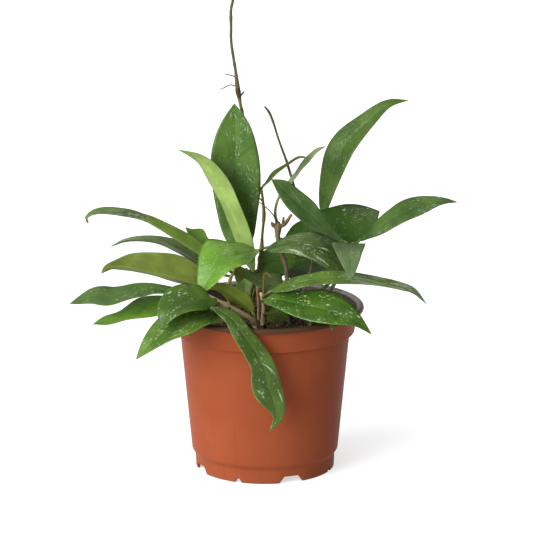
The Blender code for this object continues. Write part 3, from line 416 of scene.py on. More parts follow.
# What each stem looks like: bark colour at the foot, at the tip and in its dark streaks.
STEM_LOOKS = {
    "vine_long": ((156, 136, 96), (118, 106, 76), (72, 60, 44)),
    "stem_dark": ((148, 136, 70), (100, 100, 46), (64, 60, 32)),
    "stem_bare": ((140, 130, 98), (108, 98, 72), (70, 62, 46)),
    "stem_stout": ((152, 142, 104), (134, 124, 88), (92, 82, 60)),
    "stem_right_back": ((122, 134, 82), (92, 122, 52), (76, 80, 44)),
    "stem_right": ((156, 148, 116), (124, 134, 82), (96, 90, 66)),
    # stem_front, stem_crown and stem_red: bark paler than its own, partly painted light against the
    # leaves' shade.
    "stem_front": ((246, 228, 178), (240, 216, 160), (204, 176, 126)),
    "stem_left": ((208, 192, 126), (184, 190, 104), (140, 130, 80)),
    "stem_crown": ((240, 222, 176), (220, 194, 138), (172, 148, 104)),
    "stem_hooked": ((156, 128, 64), (170, 140, 78), (110, 84, 44)),
    "stem_red": ((248, 202, 150), (228, 182, 130), (166, 130, 96)),
}

# What single stems have: a larger share of their colour, painted light that makes up for the
# leaves' shade on them; and of their own a coloured tip (place, reach and colour), and a swollen
# joint (where along the stem it starts and ends, its brown, and the green below it).
STEM_PAINTED_LIGHT_SHARE = {"stem_front": 0.62, "stem_crown": 0.5, "stem_red": 0.45}
TINTS = {"stem_stout": ((20.5, 1.5, 203), 8.0, (168, 112, 52))}
KNOTS = {"vine_long": (0.312, 0.336, (84, 58, 38), (136, 138, 76))}

# The pot's colours: the plastic's two tones, its streaks, dust at the foot, the lip dark brown in
# front and pale grey behind, the grey partly dust and partly a painted highlight, the same in two
# tones on the lip's top, and on the wall inside dust-brown tones darkened with painted shade, bare
# patches and painted shade low down.
POT_TONES = ((180, 89, 54), (188, 97, 60))
POT_STREAK = (140, 68, 42)
FOOT_DUST = (150, 112, 92)
LIP_TONES = ((88, 68, 48), (222, 208, 196))
TOP_BROWNS = ((80, 60, 42), (108, 84, 62))
TOP_GREYS = ((200, 188, 176), (232, 222, 212))
# The inner wall: dust-brown tones darkened with painted shade, bare plastic, and painted shade low
# down.
WALL_DUST_AND_SHADE_TONES = ((78, 64, 48), (116, 100, 78))
WALL_BARE = (140, 92, 66)
WALL_PAINTED_SHADE = (76, 66, 48)

# What the soil's matters look like, in the order of the kinds of chips: light and dark colour,
# and the grain's scale.
SOIL_LOOKS = {
    "soil_bark": ((134, 106, 62), (68, 54, 32), 330.0),
    "soil_crumb": ((144, 132, 68), (76, 70, 38), 420.0),
    # soil_earth's olive green and lightness are partly painted light: a painted green reflection of
    # the leaves, and lightening against the soil's shade.
    "soil_earth": ((140, 126, 62), (76, 66, 34), 260.0),
    "soil_grain": ((222, 216, 204), (168, 158, 142), 500.0),
}


# Materials


def linear(colour, share):
    """The surface's own linear colour, which the light shows as the colour from 0 to 255."""
    parts = [c / 255.0 for c in colour]
    parts = [c / 12.92 if c <= 0.04045 else ((c + 0.055) / 1.055) ** 2.4 for c in parts]
    return (*[share * c for c in parts], 1.0)


def shade(colour, factor, more=0):
    """The colour made darker or paler."""
    return tuple(min(255, int(c * factor + more)) for c in colour)


class Nodes:
    """A node tree with short ways to add to it. Values are constants or outputs of its nodes."""

    def __init__(self, tree):
        self.tree = tree

    def put(self, socket, value):
        """Link the socket to another node's output, or set its constant."""
        if isinstance(value, bpy.types.NodeSocket):
            self.tree.links.new(value, socket)
        else:
            socket.default_value = value

    def add(self, kind, inputs=None, **settings):
        """A new node's outputs."""
        node = self.tree.nodes.new(kind)
        for key, value in settings.items():
            setattr(node, key, value)
        for key, value in (inputs or {}).items():
            self.put(node.inputs[key], value)
        return node.outputs

    def calc(self, operation, a, b=0.0):
        """A math node's result."""
        return self.add("ShaderNodeMath", {0: a, 1: b}, operation=operation)[0]

    def times(self, a, b):
        """The product."""
        return self.calc("MULTIPLY", a, b)

    def plus(self, a, b):
        """The sum."""
        return self.calc("ADD", a, b)

    def less(self, a, b):
        """The difference."""
        return self.calc("SUBTRACT", a, b)

    def most(self, a, b):
        """The larger one."""
        return self.calc("MAXIMUM", a, b)

    def size(self, a):
        """The value without its sign."""
        return self.calc("ABSOLUTE", a)

    def rise(self, value, low, high, to_low=0.0, to_high=1.0):
        """A smooth step of the value between two limits."""
        inputs = {0: value, 1: low, 2: high, 3: to_low, 4: to_high}
        return self.add("ShaderNodeMapRange", inputs, interpolation_type="SMOOTHSTEP")[0]

    def mix(self, mask, a, b):
        """Colour a turning into colour b as the mask grows."""
        return self.add("ShaderNodeMix", {0: mask, 6: a, 7: b}, data_type="RGBA")[2]

    def waves(self, place, scale, detail=3.0, rough=0.55):
        """A cloud noise over the place."""
        inputs = {"Vector": place, "Scale": scale, "Detail": detail, "Roughness": rough}
        return self.add("ShaderNodeTexNoise", inputs)["Fac"]

    def drawn(self, place, along, across=1.0, up=1.0):
        """The place scaled by its own factor along, across and up, for marks drawn out long."""
        inputs = {"Vector": place, "Scale": (across, along, up)}
        return self.add("ShaderNodeMapping", inputs)[0]

    def parts(self, vector):
        """The vector's X, Y and Z."""
        return self.add("ShaderNodeSeparateXYZ", {0: vector})

    def attribute(self, name):
        """A mesh attribute's vector."""
        return self.add("ShaderNodeAttribute", attribute_name=name)["Vector"]

    def object_place(self):
        """The place on the object, in metres."""
        return self.add("ShaderNodeTexCoord")["Object"]

    def apart(self, operation, inputs):
        """A vector's length, or two vectors' distance or product."""
        return self.add("ShaderNodeVectorMath", inputs, operation=operation)["Value"]


class Look(Nodes):
    """A material in the making. Its share is how much of its colours is the surface's own."""

    def __init__(self, name, rough, specular=0.5, share=OWN_SHARE):
        self.mat = bpy.data.materials.new(name)
        self.mat.use_nodes = True
        super().__init__(self.mat.node_tree)
        self.shader = self.tree.nodes["Principled BSDF"].inputs
        self.share = share
        self.put(self.shader["Roughness"], rough)
        self.put(self.shader["Specular IOR Level"], specular)

    def between(self, mask, a, b, share=None):
        """Colour a turning into colour b, both as the light shows them."""
        share = share or self.share
        return self.mix(mask, linear(a, share), linear(b, share))

    def over(self, tone, mask, colour, strength=1.0, share=None):
        """The tone turning into a colour, as the light shows it, where the mask lies."""
        if strength != 1.0:
            mask = self.times(mask, strength)
        return self.mix(mask, tone, linear(colour, share or self.share))

    def dressed(self, tone, relief, strength, depth):
        """The material with its tone and a bump of the relief, whose depth is in metres."""
        self.put(self.shader["Base Color"], tone)
        inputs = {"Strength": strength, "Distance": depth, "Height": relief}
        self.put(self.shader["Normal"], self.add("ShaderNodeBump", inputs)["Normal"])
        return self.mat


def side_veins(look, place, parts):
    """Thin lines that leave the midrib forward, as a mask from 0 to 1."""
    forward = look.times(look.size(parts["X"]), VEIN_LEAN)
    bend = look.times(look.waves(place, 0.05, 1.0), 6.0)
    line = look.plus(look.less(parts["Y"], forward), bend)
    turn = look.calc("FRACT", look.calc("DIVIDE", line, VEIN_PITCH))
    return look.rise(look.size(look.less(turn, 0.5)), 0.44, 0.5)


def specks(look, place, scale, radius, share):
    """Small spots in a share of the cells, their rims broken by noise."""
    inputs = {"Vector": place, "Scale": scale, "Randomness": 1.0}
    cells = look.add("ShaderNodeTexVoronoi", inputs)
    chosen = look.add("ShaderNodeSeparateColor", {0: cells["Color"]})
    ragged = look.times(look.waves(place, 2.1, 2.0), 0.26)
    off = look.plus(look.plus(cells["Distance"], ragged), look.times(chosen[1], 0.12))
    spot = look.rise(off, radius + 0.21, radius + 0.14)
    return look.times(spot, look.rise(look.plus(chosen[0], share), 1.0, 1.02))


def fleck_mask(look, place, strength):
    """Fine pale specks, broken spots and streaks, denser in clusters, as a mask from 0 to 1."""
    drawn = look.drawn(place, 0.5)
    cluster = look.rise(look.waves(look.drawn(place, 0.45), 0.1, 2.0), 0.4, 0.6)
    often = look.plus(look.times(cluster, 0.5 * strength), 0.03 + 0.12 * strength)
    seldom = look.plus(look.times(cluster, 0.3 * strength), 0.06 * strength)
    small = look.times(specks(look, drawn, 0.66, 0.2, often), 0.75)
    broken = look.rise(look.waves(drawn, 1.3, 3.0), 0.42, 0.5)
    large = look.times(look.times(specks(look, drawn, 0.25, 0.18, seldom), broken), 0.9)
    streak = look.rise(look.waves(look.drawn(place, 0.32), 0.8, 4.0, 0.65), 0.57, 0.61)
    streak = look.times(look.times(streak, look.rise(cluster, 0.7, 1.0)), min(1.0, strength))
    every = look.most(look.most(small, large), streak)
    return look.times(every, min(0.95, 0.5 + 0.4 * strength))


def splash_mask(look, place, marks):
    """Long ragged splashes about the given lines, as a mask from 0 to 1."""
    any_depth = 1e6
    ragged = look.times(look.waves(look.drawn(place, 0.5), 2.4, 3.0, 0.7), 4.0)
    mask = 0.0
    for x, y, to_x, to_y, half in marks:
        half_long = 0.5 * math.hypot(to_x - x, to_y - y) + half
        inputs = {"Vector": place, "Location": ((x + to_x) / 2, (y + to_y) / 2, 0.0),
                  "Rotation": (0.0, 0.0, math.atan2(x - to_x, to_y - y)),
                  "Scale": (half, half_long, any_depth)}
        spot = look.add("ShaderNodeMapping", inputs, vector_type="TEXTURE")[0]
        off = look.plus(look.apart("LENGTH", {0: spot}), ragged)
        mask = look.most(mask, look.rise(off, 2.8, 2.5))
    return mask


def washed_and_sheened(look, tone, place, along, streaks_and_sheen):
    """The tone with pale lengthwise streaks, partly real and partly a painted sheen, on the part of
    the blade that its entry names.
    """
    start, full, strength = streaks_and_sheen
    streak = look.rise(look.waves(look.drawn(place, 0.14), 0.6, 4.0), 0.4, 0.64)
    return look.over(tone, look.times(streak, look.rise(along, start, full)), WASH_AND_SHEEN_TONE, strength)


def rimmed(look, name, tone, shares, pale):
    """The tone with a pale or dark rim and, on a few leaves, yellow at the rim and the tip."""
    rim = look.rise(look.size(shares["X"]), *RIM)
    tone = look.over(tone, rim, pale if name in PALE_RIM else shade(pale, 0.4), 0.45)
    if name not in YELLOW_RIM:
        return tone
    side, strength = YELLOW_RIM[name]
    tip = look.times(look.rise(shares["Y"], 0.9, 1.0), 0.9)
    near = look.rise(look.plus(look.times(shares["X"], side), tip), 0.8, 0.98)
    patch = look.most(look.rise(look.waves(shares["Y"], 6.0, 1.0), 0.48, 0.56), tip)
    return look.over(tone, look.times(near, look.times(patch, strength)), RIM_YELLOW)


def upper_material(name, light, deep, flecks, rough):
    """The waxy upper side of a leaf, softly dented, with sunken veins."""
    look = Look(name + "_upper", rough, GLOSS.get(name, USUAL_GLOSS))
    place = look.attribute("place")
    parts = look.parts(place)
    shares = look.parts(look.attribute("share"))
    pale = shade(light, 1.25, 22)
    broad = look.waves(place, 0.045, 3.0)
    tone = look.between(look.rise(broad, 0.36, 0.64), deep, light)
    # Pale streaks, on some leaves partly a painted sheen.
    if name in WASH_AND_SHEEN:
        tone = washed_and_sheened(look, tone, place, shares["Y"], WASH_AND_SHEEN[name])
    veins = side_veins(look, place, parts)
    tone = look.over(tone, veins, pale, 0.1)
    middle = look.rise(look.size(parts["X"]), 0.8, 0.1)
    tone = look.over(tone, middle, pale, MIDRIB.get(name, USUAL_MIDRIB))
    if flecks > 0:
        spots = YELLOW_FLECK if name in YELLOW_FLECKED else FLECK
        tone = look.over(tone, fleck_mask(look, place, flecks), spots)
    if name in SPLASHES:
        tone = look.over(tone, splash_mask(look, place, SPLASHES[name]), FLECK, 0.8)
    tone = rimmed(look, name, tone, shares, pale)
    shine = look.rise(look.waves(place, 0.12), 0.3, 0.7, rough - 0.08, rough + 0.06)
    look.put(look.shader["Roughness"], shine)
    skin = look.times(look.waves(place, 0.9, 3.0), 0.35)
    dents = look.times(look.waves(look.drawn(place, 0.6), 0.17, 2.0), 1.4)
    relief = look.less(look.plus(look.plus(skin, dents), broad), look.times(veins, 0.25))
    return look.dressed(tone, relief, 0.6, 0.0007)


def mottled(look, tone, place, where):
    """The tone greyed in streaks and flecked with pale spots in one part of the blade."""
    tone = look.over(tone, where, MOTTLE, 0.75)
    streak = look.rise(look.waves(look.drawn(place, 0.3), 0.8, 4.0), 0.48, 0.62)
    both = look.most(look.times(streak, 0.6), fleck_mask(look, place, 1.2))
    return look.over(tone, look.times(both, where), FLECK)


def lower_material(name, colour, rough):
    """The paler, duller lower side of a leaf."""
    look = Look(name + "_lower", rough, 0.1)
    place = look.attribute("place")
    parts = look.parts(place)
    shares = look.parts(look.attribute("share"))
    pale = shade(colour, 1.12, 16)
    broad = look.rise(look.waves(place, 0.06, 4.0), 0.34, 0.66)
    tone = look.between(broad, shade(colour, 0.86), colour)
    if name in MOTTLED_BELOW:
        tone = mottled(look, tone, place, look.rise(shares["Y"], *MOTTLED_BELOW[name]))
    veins = side_veins(look, place, parts)
    tone = look.over(tone, veins, pale, 0.25)
    middle = look.rise(look.size(parts["X"]), 1.5, 0.5)
    tone = look.over(tone, middle, pale, 4.0 * MIDRIB.get(name, USUAL_MIDRIB))
    tone = look.over(tone, look.rise(look.size(shares["X"]), *RIM), shade(colour, 0.5), 0.5)
    relief = look.plus(look.waves(place, 0.7, 3.0), look.times(veins, 0.8))
    return look.dressed(tone, relief, 0.35, 0.0005)


def stalk_material(name, colour, leaf):
    """The round leaf stalk, which turns into the leaf's green."""
    look = Look(name + "_stalk", 0.5, 0.15)
    streak = look.waves(look.drawn(look.attribute("place"), 0.12, 1.4), 0.8, 3.0)
    bark = look.between(look.rise(streak, 0.35, 0.65), shade(colour, 0.68), colour)
    along = look.parts(look.attribute("share"))["Z"]
    return look.dressed(look.over(bark, look.rise(along, 0.35, 1.0), leaf), streak, 0.4, 0.0004)


def bark_material(name, foot, tip, dark):
    """Bark with lengthwise streaks, blotches and small pale pores, darker on twigs."""
    look = Look(name + "_bark", 0.68, 0.1)
    place = look.attribute("place")
    shares = look.parts(look.attribute("share"))
    # Painted light: stems in the leaves' shade take a larger share of their colour.
    share = STEM_PAINTED_LIGHT_SHARE.get(name, OWN_SHARE)
    tone = look.between(look.rise(shares["Y"], 0.25, 0.9), tip, foot, share)
    tone = look.over(tone, shares["X"], dark, 0.55)
    streak = look.waves(look.drawn(place, 0.14), 0.9, 5.0, 0.62)
    tone = look.over(tone, look.rise(streak, 0.5, 0.68, 0.0, 0.75), dark, share=share)
    blotch = look.rise(look.waves(place, 0.11, 3.0), 0.5, 0.72, 0.0, 0.6)
    tone = look.over(tone, blotch, dark, share=share)
    cells = look.add("ShaderNodeTexVoronoi", {"Vector": place, "Scale": 0.55})
    pores = look.rise(cells["Distance"], 0.2, 0.1)
    tone = look.over(tone, pores, shade(foot, 1.3, 20), 0.5)
    if name in KNOTS:
        tone = knotted(look, tone, place, shares["Y"], KNOTS[name])
    if name in TINTS:
        tone = tinted(look, tone, *TINTS[name])
    return look.dressed(tone, look.plus(streak, look.times(pores, 0.4)), 0.7, 0.0006)


def knotted(look, tone, place, along, knot):
    """The tone browned in blotches round a swollen joint, greener just below it."""
    start, end, brown, green = knot
    inside = look.times(look.rise(along, start - 0.008, start), look.rise(along, end + 0.008, end))
    below = look.times(look.rise(along, end, end + 0.01), look.rise(along, end + 0.16, end + 0.04))
    blotch = look.rise(look.waves(place, 0.7, 3.0), 0.36, 0.5, 0.35, 1.0)
    tone = look.over(tone, below, green, 0.6)
    return look.over(tone, look.times(inside, blotch), brown)


def tinted(look, tone, spot, reach, colour):
    """The tone turning into the colour about a place, within its reach in millimetres."""
    middle = tuple(v * MM for v in spot)
    off = look.apart("DISTANCE", {0: look.object_place(), 1: middle})
    return look.over(tone, look.rise(off, reach * MM, 0.4 * reach * MM, 0.0, 0.8), colour)


def pot_material():
    """Smooth moulded terracotta-coloured plastic, dusty at the foot, with the lip dark brown in
    front and pale grey behind, the grey partly dust and partly a painted highlight.
    """
    look = Look("pot_plastic", 0.45, 0.03, POT_SHARE)
    place = look.object_place()
    parts = look.parts(place)
    cloud = look.waves(place, 22.0, 4.0)
    fine = look.waves(place, 420.0, 4.0, 0.7)
    streak = look.waves(look.drawn(place, 1.0, 1.0, 0.06), 150.0, 3.0)
    tone = look.between(look.rise(cloud, 0.3, 0.7), *POT_TONES)
    tone = look.over(tone, look.rise(streak, 0.55, 0.75, 0.0, 0.14), POT_STREAK)
    foot = look.rise(look.plus(parts["Z"], look.times(fine, 0.006)), 0.011, 0.002)
    tone = look.over(tone, foot, FOOT_DUST, 0.22)
    lip = look.rise(look.plus(parts["Z"], look.times(fine, 0.0016)), 0.128, 0.1292)
    # The lip: dark brown in front, pale grey behind; the grey is partly dust and partly a painted
    # highlight.
    lip_dust_and_highlight = look.between(look.rise(parts["Y"], *LIP_BROWN_TO_GREY), *LIP_TONES)
    tone = look.mix(look.times(lip, 0.93), tone, lip_dust_and_highlight)
    look.put(look.shader["Roughness"], look.rise(cloud, 0.3, 0.7, 0.4, 0.5))
    relief = look.plus(look.times(fine, 0.5), look.times(streak, 0.6))
    return look.dressed(tone, relief, 0.2, 0.0003)


def dust_and_shade_material():
    """The lip's top, dark brown in front and pale grey behind, the grey partly dust and partly a
    painted highlight, and the inner wall in dust-brown tones darkened with painted shade, most of
    all low down.
    """
    look = Look("pot_dust_and_shade", 0.62, share=POT_SHARE)
    place = look.object_place()
    parts = look.parts(place)
    fine = look.waves(place, 420.0, 4.0, 0.7)
    cloud = look.waves(place, 45.0, 4.0)
    spots = look.rise(fine, 0.35, 0.65)
    brown = look.between(spots, *TOP_BROWNS)
    grey = look.between(spots, *TOP_GREYS)
    # The inner wall's tones are dust-brown darkened with painted shade.
    wall = look.between(spots, *WALL_DUST_AND_SHADE_TONES)
    # Lip top: dark brown in front, pale grey behind; the grey is partly dust and partly a painted
    # highlight.
    tone = look.mix(look.rise(parts["Y"], *LIP_BROWN_TO_GREY), brown, grey)
    tone = look.mix(look.rise(parts["Z"], 0.1299, 0.1287), tone, wall)
    tone = look.over(tone, look.rise(cloud, 0.52, 0.72, 0.0, 0.4), WALL_BARE)
    # Painted shade: the inner wall darker low down.
    low_painted_shade = look.rise(look.plus(parts["Z"], look.times(cloud, 0.004)), 0.122, 0.117)
    return look.dressed(look.over(tone, low_painted_shade, WALL_PAINTED_SHADE, 0.6), fine, 0.4, 0.0004)


def soil_material(name, light, dark, scale):
    """Earthy, crumbly matter of two tones."""
    look = Look(name, 0.92)
    place = look.object_place()
    grain = look.waves(place, scale, 6.0, 0.7)
    cloud = look.waves(place, scale * 0.12, 3.0)
    tone = look.between(look.rise(grain, 0.38, 0.66), dark, light)
    tone = look.over(tone, look.rise(cloud, 0.45, 0.7, 0.0, 0.6), dark)
    return look.dressed(tone, grain, 0.9, 0.0009)


# Curves and meshes


def smooth_curve(points, per):
    """A centripetal Catmull-Rom curve through the points, with so many steps between two."""
    p = np.array(points, float)
    if len(p) == 2:
        t = np.linspace(0, 1, per + 1)[:, None]
        return p[0] * (1 - t) + p[1] * t
    ends = np.vstack([2 * p[0] - p[1], p, 2 * p[-1] - p[-2]])
    steps = [span(ends[i:i + 4], per) for i in range(len(p) - 1)]
    return np.vstack(steps + [p[-1:]])


def span(four, per):
    """The curve between the middle two of four points."""
    a, b, c, d = four
    t1 = max(np.linalg.norm(b - a), 1e-6) ** 0.5
    t2 = t1 + max(np.linalg.norm(c - b), 1e-6) ** 0.5
    t3 = t2 + max(np.linalg.norm(d - c), 1e-6) ** 0.5
    t = np.linspace(t1, t2, per, endpoint=False)[:, None]
    ab = (t1 - t) / t1 * a + t / t1 * b
    bc = (t2 - t) / (t2 - t1) * b + (t - t1) / (t2 - t1) * c
    cd = (t3 - t) / (t3 - t2) * c + (t - t2) / (t3 - t2) * d
    abc = (t2 - t) / t2 * ab + t / t2 * bc
    bcd = (t3 - t) / (t3 - t1) * bc + (t - t1) / (t3 - t1) * cd
    return (t2 - t) / (t2 - t1) * abc + (t - t1) / (t2 - t1) * bcd


def distances(curve):
    """Length along the curve at each of its points."""
    return np.concatenate([[0.0], np.cumsum(np.linalg.norm(np.diff(curve, axis=0), axis=1))])


def points_at(curve, where):
    """The curve's points at the given lengths along it."""
    d = distances(curve)
    return np.stack([np.interp(where, d, curve[:, k]) for k in range(3)], axis=1)


def directions(curve, where):
    """Unit tangents of the curve at the given lengths along it."""
    reach = 1.5
    end = distances(curve)[-1]
    ahead = points_at(curve, np.clip(where + reach, 0, end))
    t = ahead - points_at(curve, np.clip(where - reach, 0, end))
    return t / np.linalg.norm(t, axis=1)[:, None]


def square_to(vectors, tangents):
    """The vectors made square to the tangents and of length one."""
    out = vectors - (vectors * tangents).sum(axis=1)[:, None] * tangents
    return out / np.linalg.norm(out, axis=1)[:, None]


def smooth_step(value, low, high):
    """From 0 at low to 1 at high, with soft ends."""
    t = np.clip((value - low) / (high - low), 0.0, 1.0)
    return t * t * (3 - 2 * t)


def level_ring(radius, z, count, middle=(0.0, 0.0)):
    """Points of a level circle."""
    x, y = middle
    turns = [math.tau * k / count for k in range(count)]
    return [(x + radius * math.cos(a), y + radius * math.sin(a), z) for a in turns]


def grid_faces(rows, around):
    """Quads between rows of points that run round a section."""
    faces = []
    for i in range(rows - 1):
        for j in range(around):
            a = i * around + j
            b = i * around + (j + 1) % around
            faces.append((a + around, b + around, b, a))
    return faces


def tube_faces(rows, around):
    """Quads between the rows, and a cap at each end."""
    last = (rows - 1) * around
    caps = [tuple(range(around)), tuple(range(last + around - 1, last - 1, -1))]
    return grid_faces(rows, around) + caps


def ball_faces(rows, around):
    """Faces of a body of rings that go down, between a first point above and a last one below."""
    ring = [(k, (k + 1) % around) for k in range(around)]
    last = 1 + (rows - 1) * around
    faces = [(0, 1 + j, 1 + k) for j, k in ring]
    for a in range(1, last, around):
        faces += [(a + j, a + around + j, a + around + k, a + k) for j, k in ring]
    return faces + [(last + j, last + around, last + k) for j, k in ring]


def flipped(faces):
    """The faces turned over, each with the same first corner."""
    return [(face[0], *face[:0:-1]) for face in faces]


def add_body(points, faces, more_points, more_faces):
    """Add a body to the points and faces of others."""
    base = len(points)
    points += list(more_points)
    faces += [tuple(base + i for i in face) for face in more_faces]


def new_object(name, data):
    """A new object in the scene."""
    item = bpy.data.objects.new(name, data)
    bpy.context.scene.collection.objects.link(item)
    return item


def piece(name, points, faces, materials, slots=None):
    """A smooth-shaded mesh object of the plant from points in millimetres."""
    mesh = bpy.data.meshes.new(name + "_mesh")
    mesh.from_pydata([tuple(float(v) * MM for v in p) for p in points], [], faces)
    for mat in materials:
        mesh.materials.append(mat)
    if slots is not None:
        mesh.polygons.foreach_set("material_index", slots)
    mesh.shade_smooth()
    mesh.update()
    return new_object(name, mesh)


def set_attribute(item, name, values):
    """A vector for each point of the object's mesh."""
    layer = item.data.attributes.new(name, "FLOAT_VECTOR", "POINT")
    layer.data.foreach_set("vector", np.asarray(values, np.float32).ravel())


def hand_over(item, slot, *nodes):
    """The piece rides on the plant and stands for its CAD nodes."""
    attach(item, "root")
    if nodes:
        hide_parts(*nodes)


# Leaves


def facing(turn, tilt):
    """A direction turned from the front toward the right and tilted up, in degrees."""
    a = math.radians(turn)
    e = math.radians(tilt)
    return np.array([math.sin(a) * math.cos(e), -math.cos(a) * math.cos(e), math.sin(e)])


def upper_side(t, faces):
    """The upper side's direction at the fractions t, blended between the given ones."""
    marks = np.linspace(0, 1, len(faces))
    dirs = np.array([facing(*f) for f in faces])
    return np.stack([np.interp(t, marks, dirs[:, k]) for k in range(3)], axis=1)


def half_width(t, sizes):
    """The blade's half-width at the fractions t of its length."""
    least = 0.4
    x = np.array([0, 0.1, 0.3, 0.5, 0.7, 0.9, 1.0])
    y = np.array([sizes[0] * 0.35, *sizes, least])
    slope = np.gradient(y, x)
    k = np.clip(np.searchsorted(x, t, side="right") - 1, 0, len(x) - 2)
    h = x[k + 1] - x[k]
    u = (t - x[k]) / h
    near = y[k] * (1 + 2 * u) * (1 - u) ** 2 + slope[k] * h * u * (1 - u) ** 2
    far = y[k + 1] * u * u * (3 - 2 * u) - slope[k + 1] * h * u * u * (1 - u)
    return np.maximum(near + far, least)


def side_sizes(sizes, u):
    """The half-widths of the side on which u lies: ten sizes give each side its own."""
    return sizes[:5] if u < 0 or len(sizes) == 5 else sizes[5:]


def wave(t, side, number):
    """The margin's wave, other on each side and for each leaf."""
    count = 1.6 + 0.35 * (number % 4)
    phase = 1.7 * number + (2.1 if side > 0 else 0.0)
    return RIPPLE * np.sin(math.tau * count * t + phase) * np.sin(math.pi * t)


def across_steps():
    """Places across the blade from -1 to 1, closer at the midrib."""
    s = np.linspace(-1, 1, ACROSS_STEPS)
    return np.sign(s) * np.abs(s) ** 1.5


def blade_frame(curve, stalk, faces):
    """Lengths, fractions, points, upward and sideways directions along the blade."""
    total = distances(curve)[-1]
    t = np.linspace(0, 1, BLADE_STEPS + 1) ** 1.08
    where = stalk + t * (total - stalk)
    tangents = directions(curve, where)
    up = square_to(upper_side(t, faces), tangents)
    return where, t, points_at(curve, where), up, np.cross(tangents, up)


def blade_skin(x, u, t):
    """Heights of the upper and lower skin: a groove over the midrib and a keel below it."""
    thick = BLADE_HALF_THICK - MARGIN_LOSS * abs(u) ** 2
    groove = GROOVE_DEPTH * (1 - 0.75 * t) * np.exp(-(x / 0.75) ** 2)
    keel = (1 - t) ** 1.3 * KEEL_DEPTH * np.exp(-(x / 1.15) ** 2) + 0.12 * np.exp(-(x / 0.8) ** 2)
    root = 0.75 * smooth_step(t, 0.05, 0.0) * np.exp(-(x / 1.0) ** 2)
    return thick - groove * smooth_step(t, 0.0, 0.05) + root, thick + keel


def blade_sheet(curve, rib, number):
    """The blade's upper and lower points, places and shares in rows along it, and its first up."""
    _, sizes, faces, stalk, fold, hollow = rib
    where, t, mids, up, side = blade_frame(curve, stalk, faces)
    bend = math.radians(fold)
    offset = np.full(len(t), LEAF_OFFSET * number)
    rows = []
    for u in across_steps():
        half = half_width(t, side_sizes(sizes, u))
        half = STALK_RADIUS + (half - STALK_RADIUS) * smooth_step(t, -0.01, 0.05)
        half = half * (1 - 0.55 * smooth_step(t, 0.985, 1.0))
        x = u * half * math.cos(bend)
        lift = abs(u) * half * math.sin(bend) - hollow * u * u * half
        lift = lift + wave(t, u, number) * u * u * np.minimum(half / 9.0, 1.3)
        lift = lift - (1 - abs(u)) ** 3 * 0.12 * half * math.sin(bend)
        middle = mids + side * x[:, None] + up * lift[:, None]
        over, under = blade_skin(x, u, t)
        rows.append((middle + up * over[:, None], middle - up * under[:, None],
                     np.stack([u * half, where, offset], axis=1),
                     np.stack([np.full(len(t), u), t, np.ones(len(t))], axis=1)))
    return [np.stack(part, axis=1) for part in zip(*rows)], up[0]


def stalk_sheet(curve, stalk, up, number):
    """The leaf stalk's round sections, cut and given in rows like the blade."""
    where = np.linspace(0.0, stalk, STALK_STEPS + 1)[:-1]
    none = np.zeros(len(where))
    mids = points_at(curve, where)
    tangents = directions(curve, where)
    ups = square_to(np.repeat(up[None], len(where), axis=0), tangents)
    sides = np.cross(tangents, ups)
    swell = 0.32 * smooth_step(where, 3.5, 0.5)
    radius = STALK_RADIUS * (1.0 + swell + 0.06 * np.sin(where * 0.9 + number))
    rows = []
    for a in np.pi * (1 - np.linspace(0.03, 0.97, ACROSS_STEPS)):
        x = sides * (radius * math.cos(a))[:, None]
        z = ups * (radius * math.sin(a))[:, None]
        rows.append((mids + x + z, mids + x - z,
                     np.stack([none + a * 1.1, where, none + number], axis=1),
                     np.stack([none, none, where / stalk], axis=1)))
    return [np.stack(part, axis=1) for part in zip(*rows)]


def build_leaf(name, number):
    """One leaf from its stalk's foot to its tip, with its own materials."""
    light, deep, flecks, lower, rough, stalk_colour = LEAF_LOOKS[name]
    rib = LEAVES[name]
    stalk = rib[3]
    curve = smooth_curve(rib[0], LEAF_CURVE_STEPS)
    blade, up = blade_sheet(curve, rib, number)
    sheets = [np.concatenate(two) for two in zip(stalk_sheet(curve, stalk, up, number), blade)]
    over, under, place, share = sheets
    rings = np.concatenate([over, under[:, ::-1]], axis=1)
    rows, around = rings.shape[:2]
    materials = [upper_material(name, light, deep, flecks, rough),
                 lower_material(name, lower, rough + 0.12),
                 stalk_material(name, stalk_colour, lower)]
    slots = [2] * (STALK_STEPS * around)
    slots += ([0] * ACROSS_STEPS + [1] * ACROSS_STEPS) * (rows - 1 - STALK_STEPS) + [2, 1]
    leaf = piece("fine_" + name, rings.reshape(-1, 3), tube_faces(rows, around), materials, slots)
    for key, values in (("place", place), ("share", share)):
        both = np.concatenate([values, values[:, ::-1]], axis=1)
        set_attribute(leaf, key, both.reshape(-1, 3))
    return leaf


# Stems


def moving_frame(curve, where):
    """Two directions square to the curve that don't twist along it."""
    tangents = directions(curve, where)
    first = np.cross(tangents[0], (0.31, 0.87, 0.38))
    side = [first / np.linalg.norm(first)]
    for t in tangents[1:]:
        s = side[-1] - (side[-1] @ t) * t
        side.append(s / np.linalg.norm(s))
    side = np.array(side)
    return side, np.cross(tangents, side)


def rough_radius(base, where, turn, seed, lumps):
    """The stem's radius round one section, with ridges and lumps."""
    out = []
    for a in turn:
        spot = Vector((1.3 * math.cos(a), 1.3 * math.sin(a), where * 0.11 + seed))
        ridge = 0.035 * math.sin(5 * a + seed) + 0.02 * math.sin(9 * a + where * 0.05)
        out.append(base * (1 + lumps * noise.noise(spot) + ridge))
    return np.array(out)


def node_swelling(where, total, seed):
    """Slight swellings where old leaves sat."""
    pitch = NODE_PITCH + NODE_PITCH_CHANGE * math.sin(seed)
    offset = (where + seed * 7.0) % pitch
    near = min(offset, pitch - offset)
    ends = min(1.0, where / NODE_FREE_END) * min(1.0, (total - where) / NODE_FREE_END)
    return 1.0 + NODE_SWELL * math.exp(-(near / NODE_HALF_LENGTH) ** 2) * max(0.0, ends)


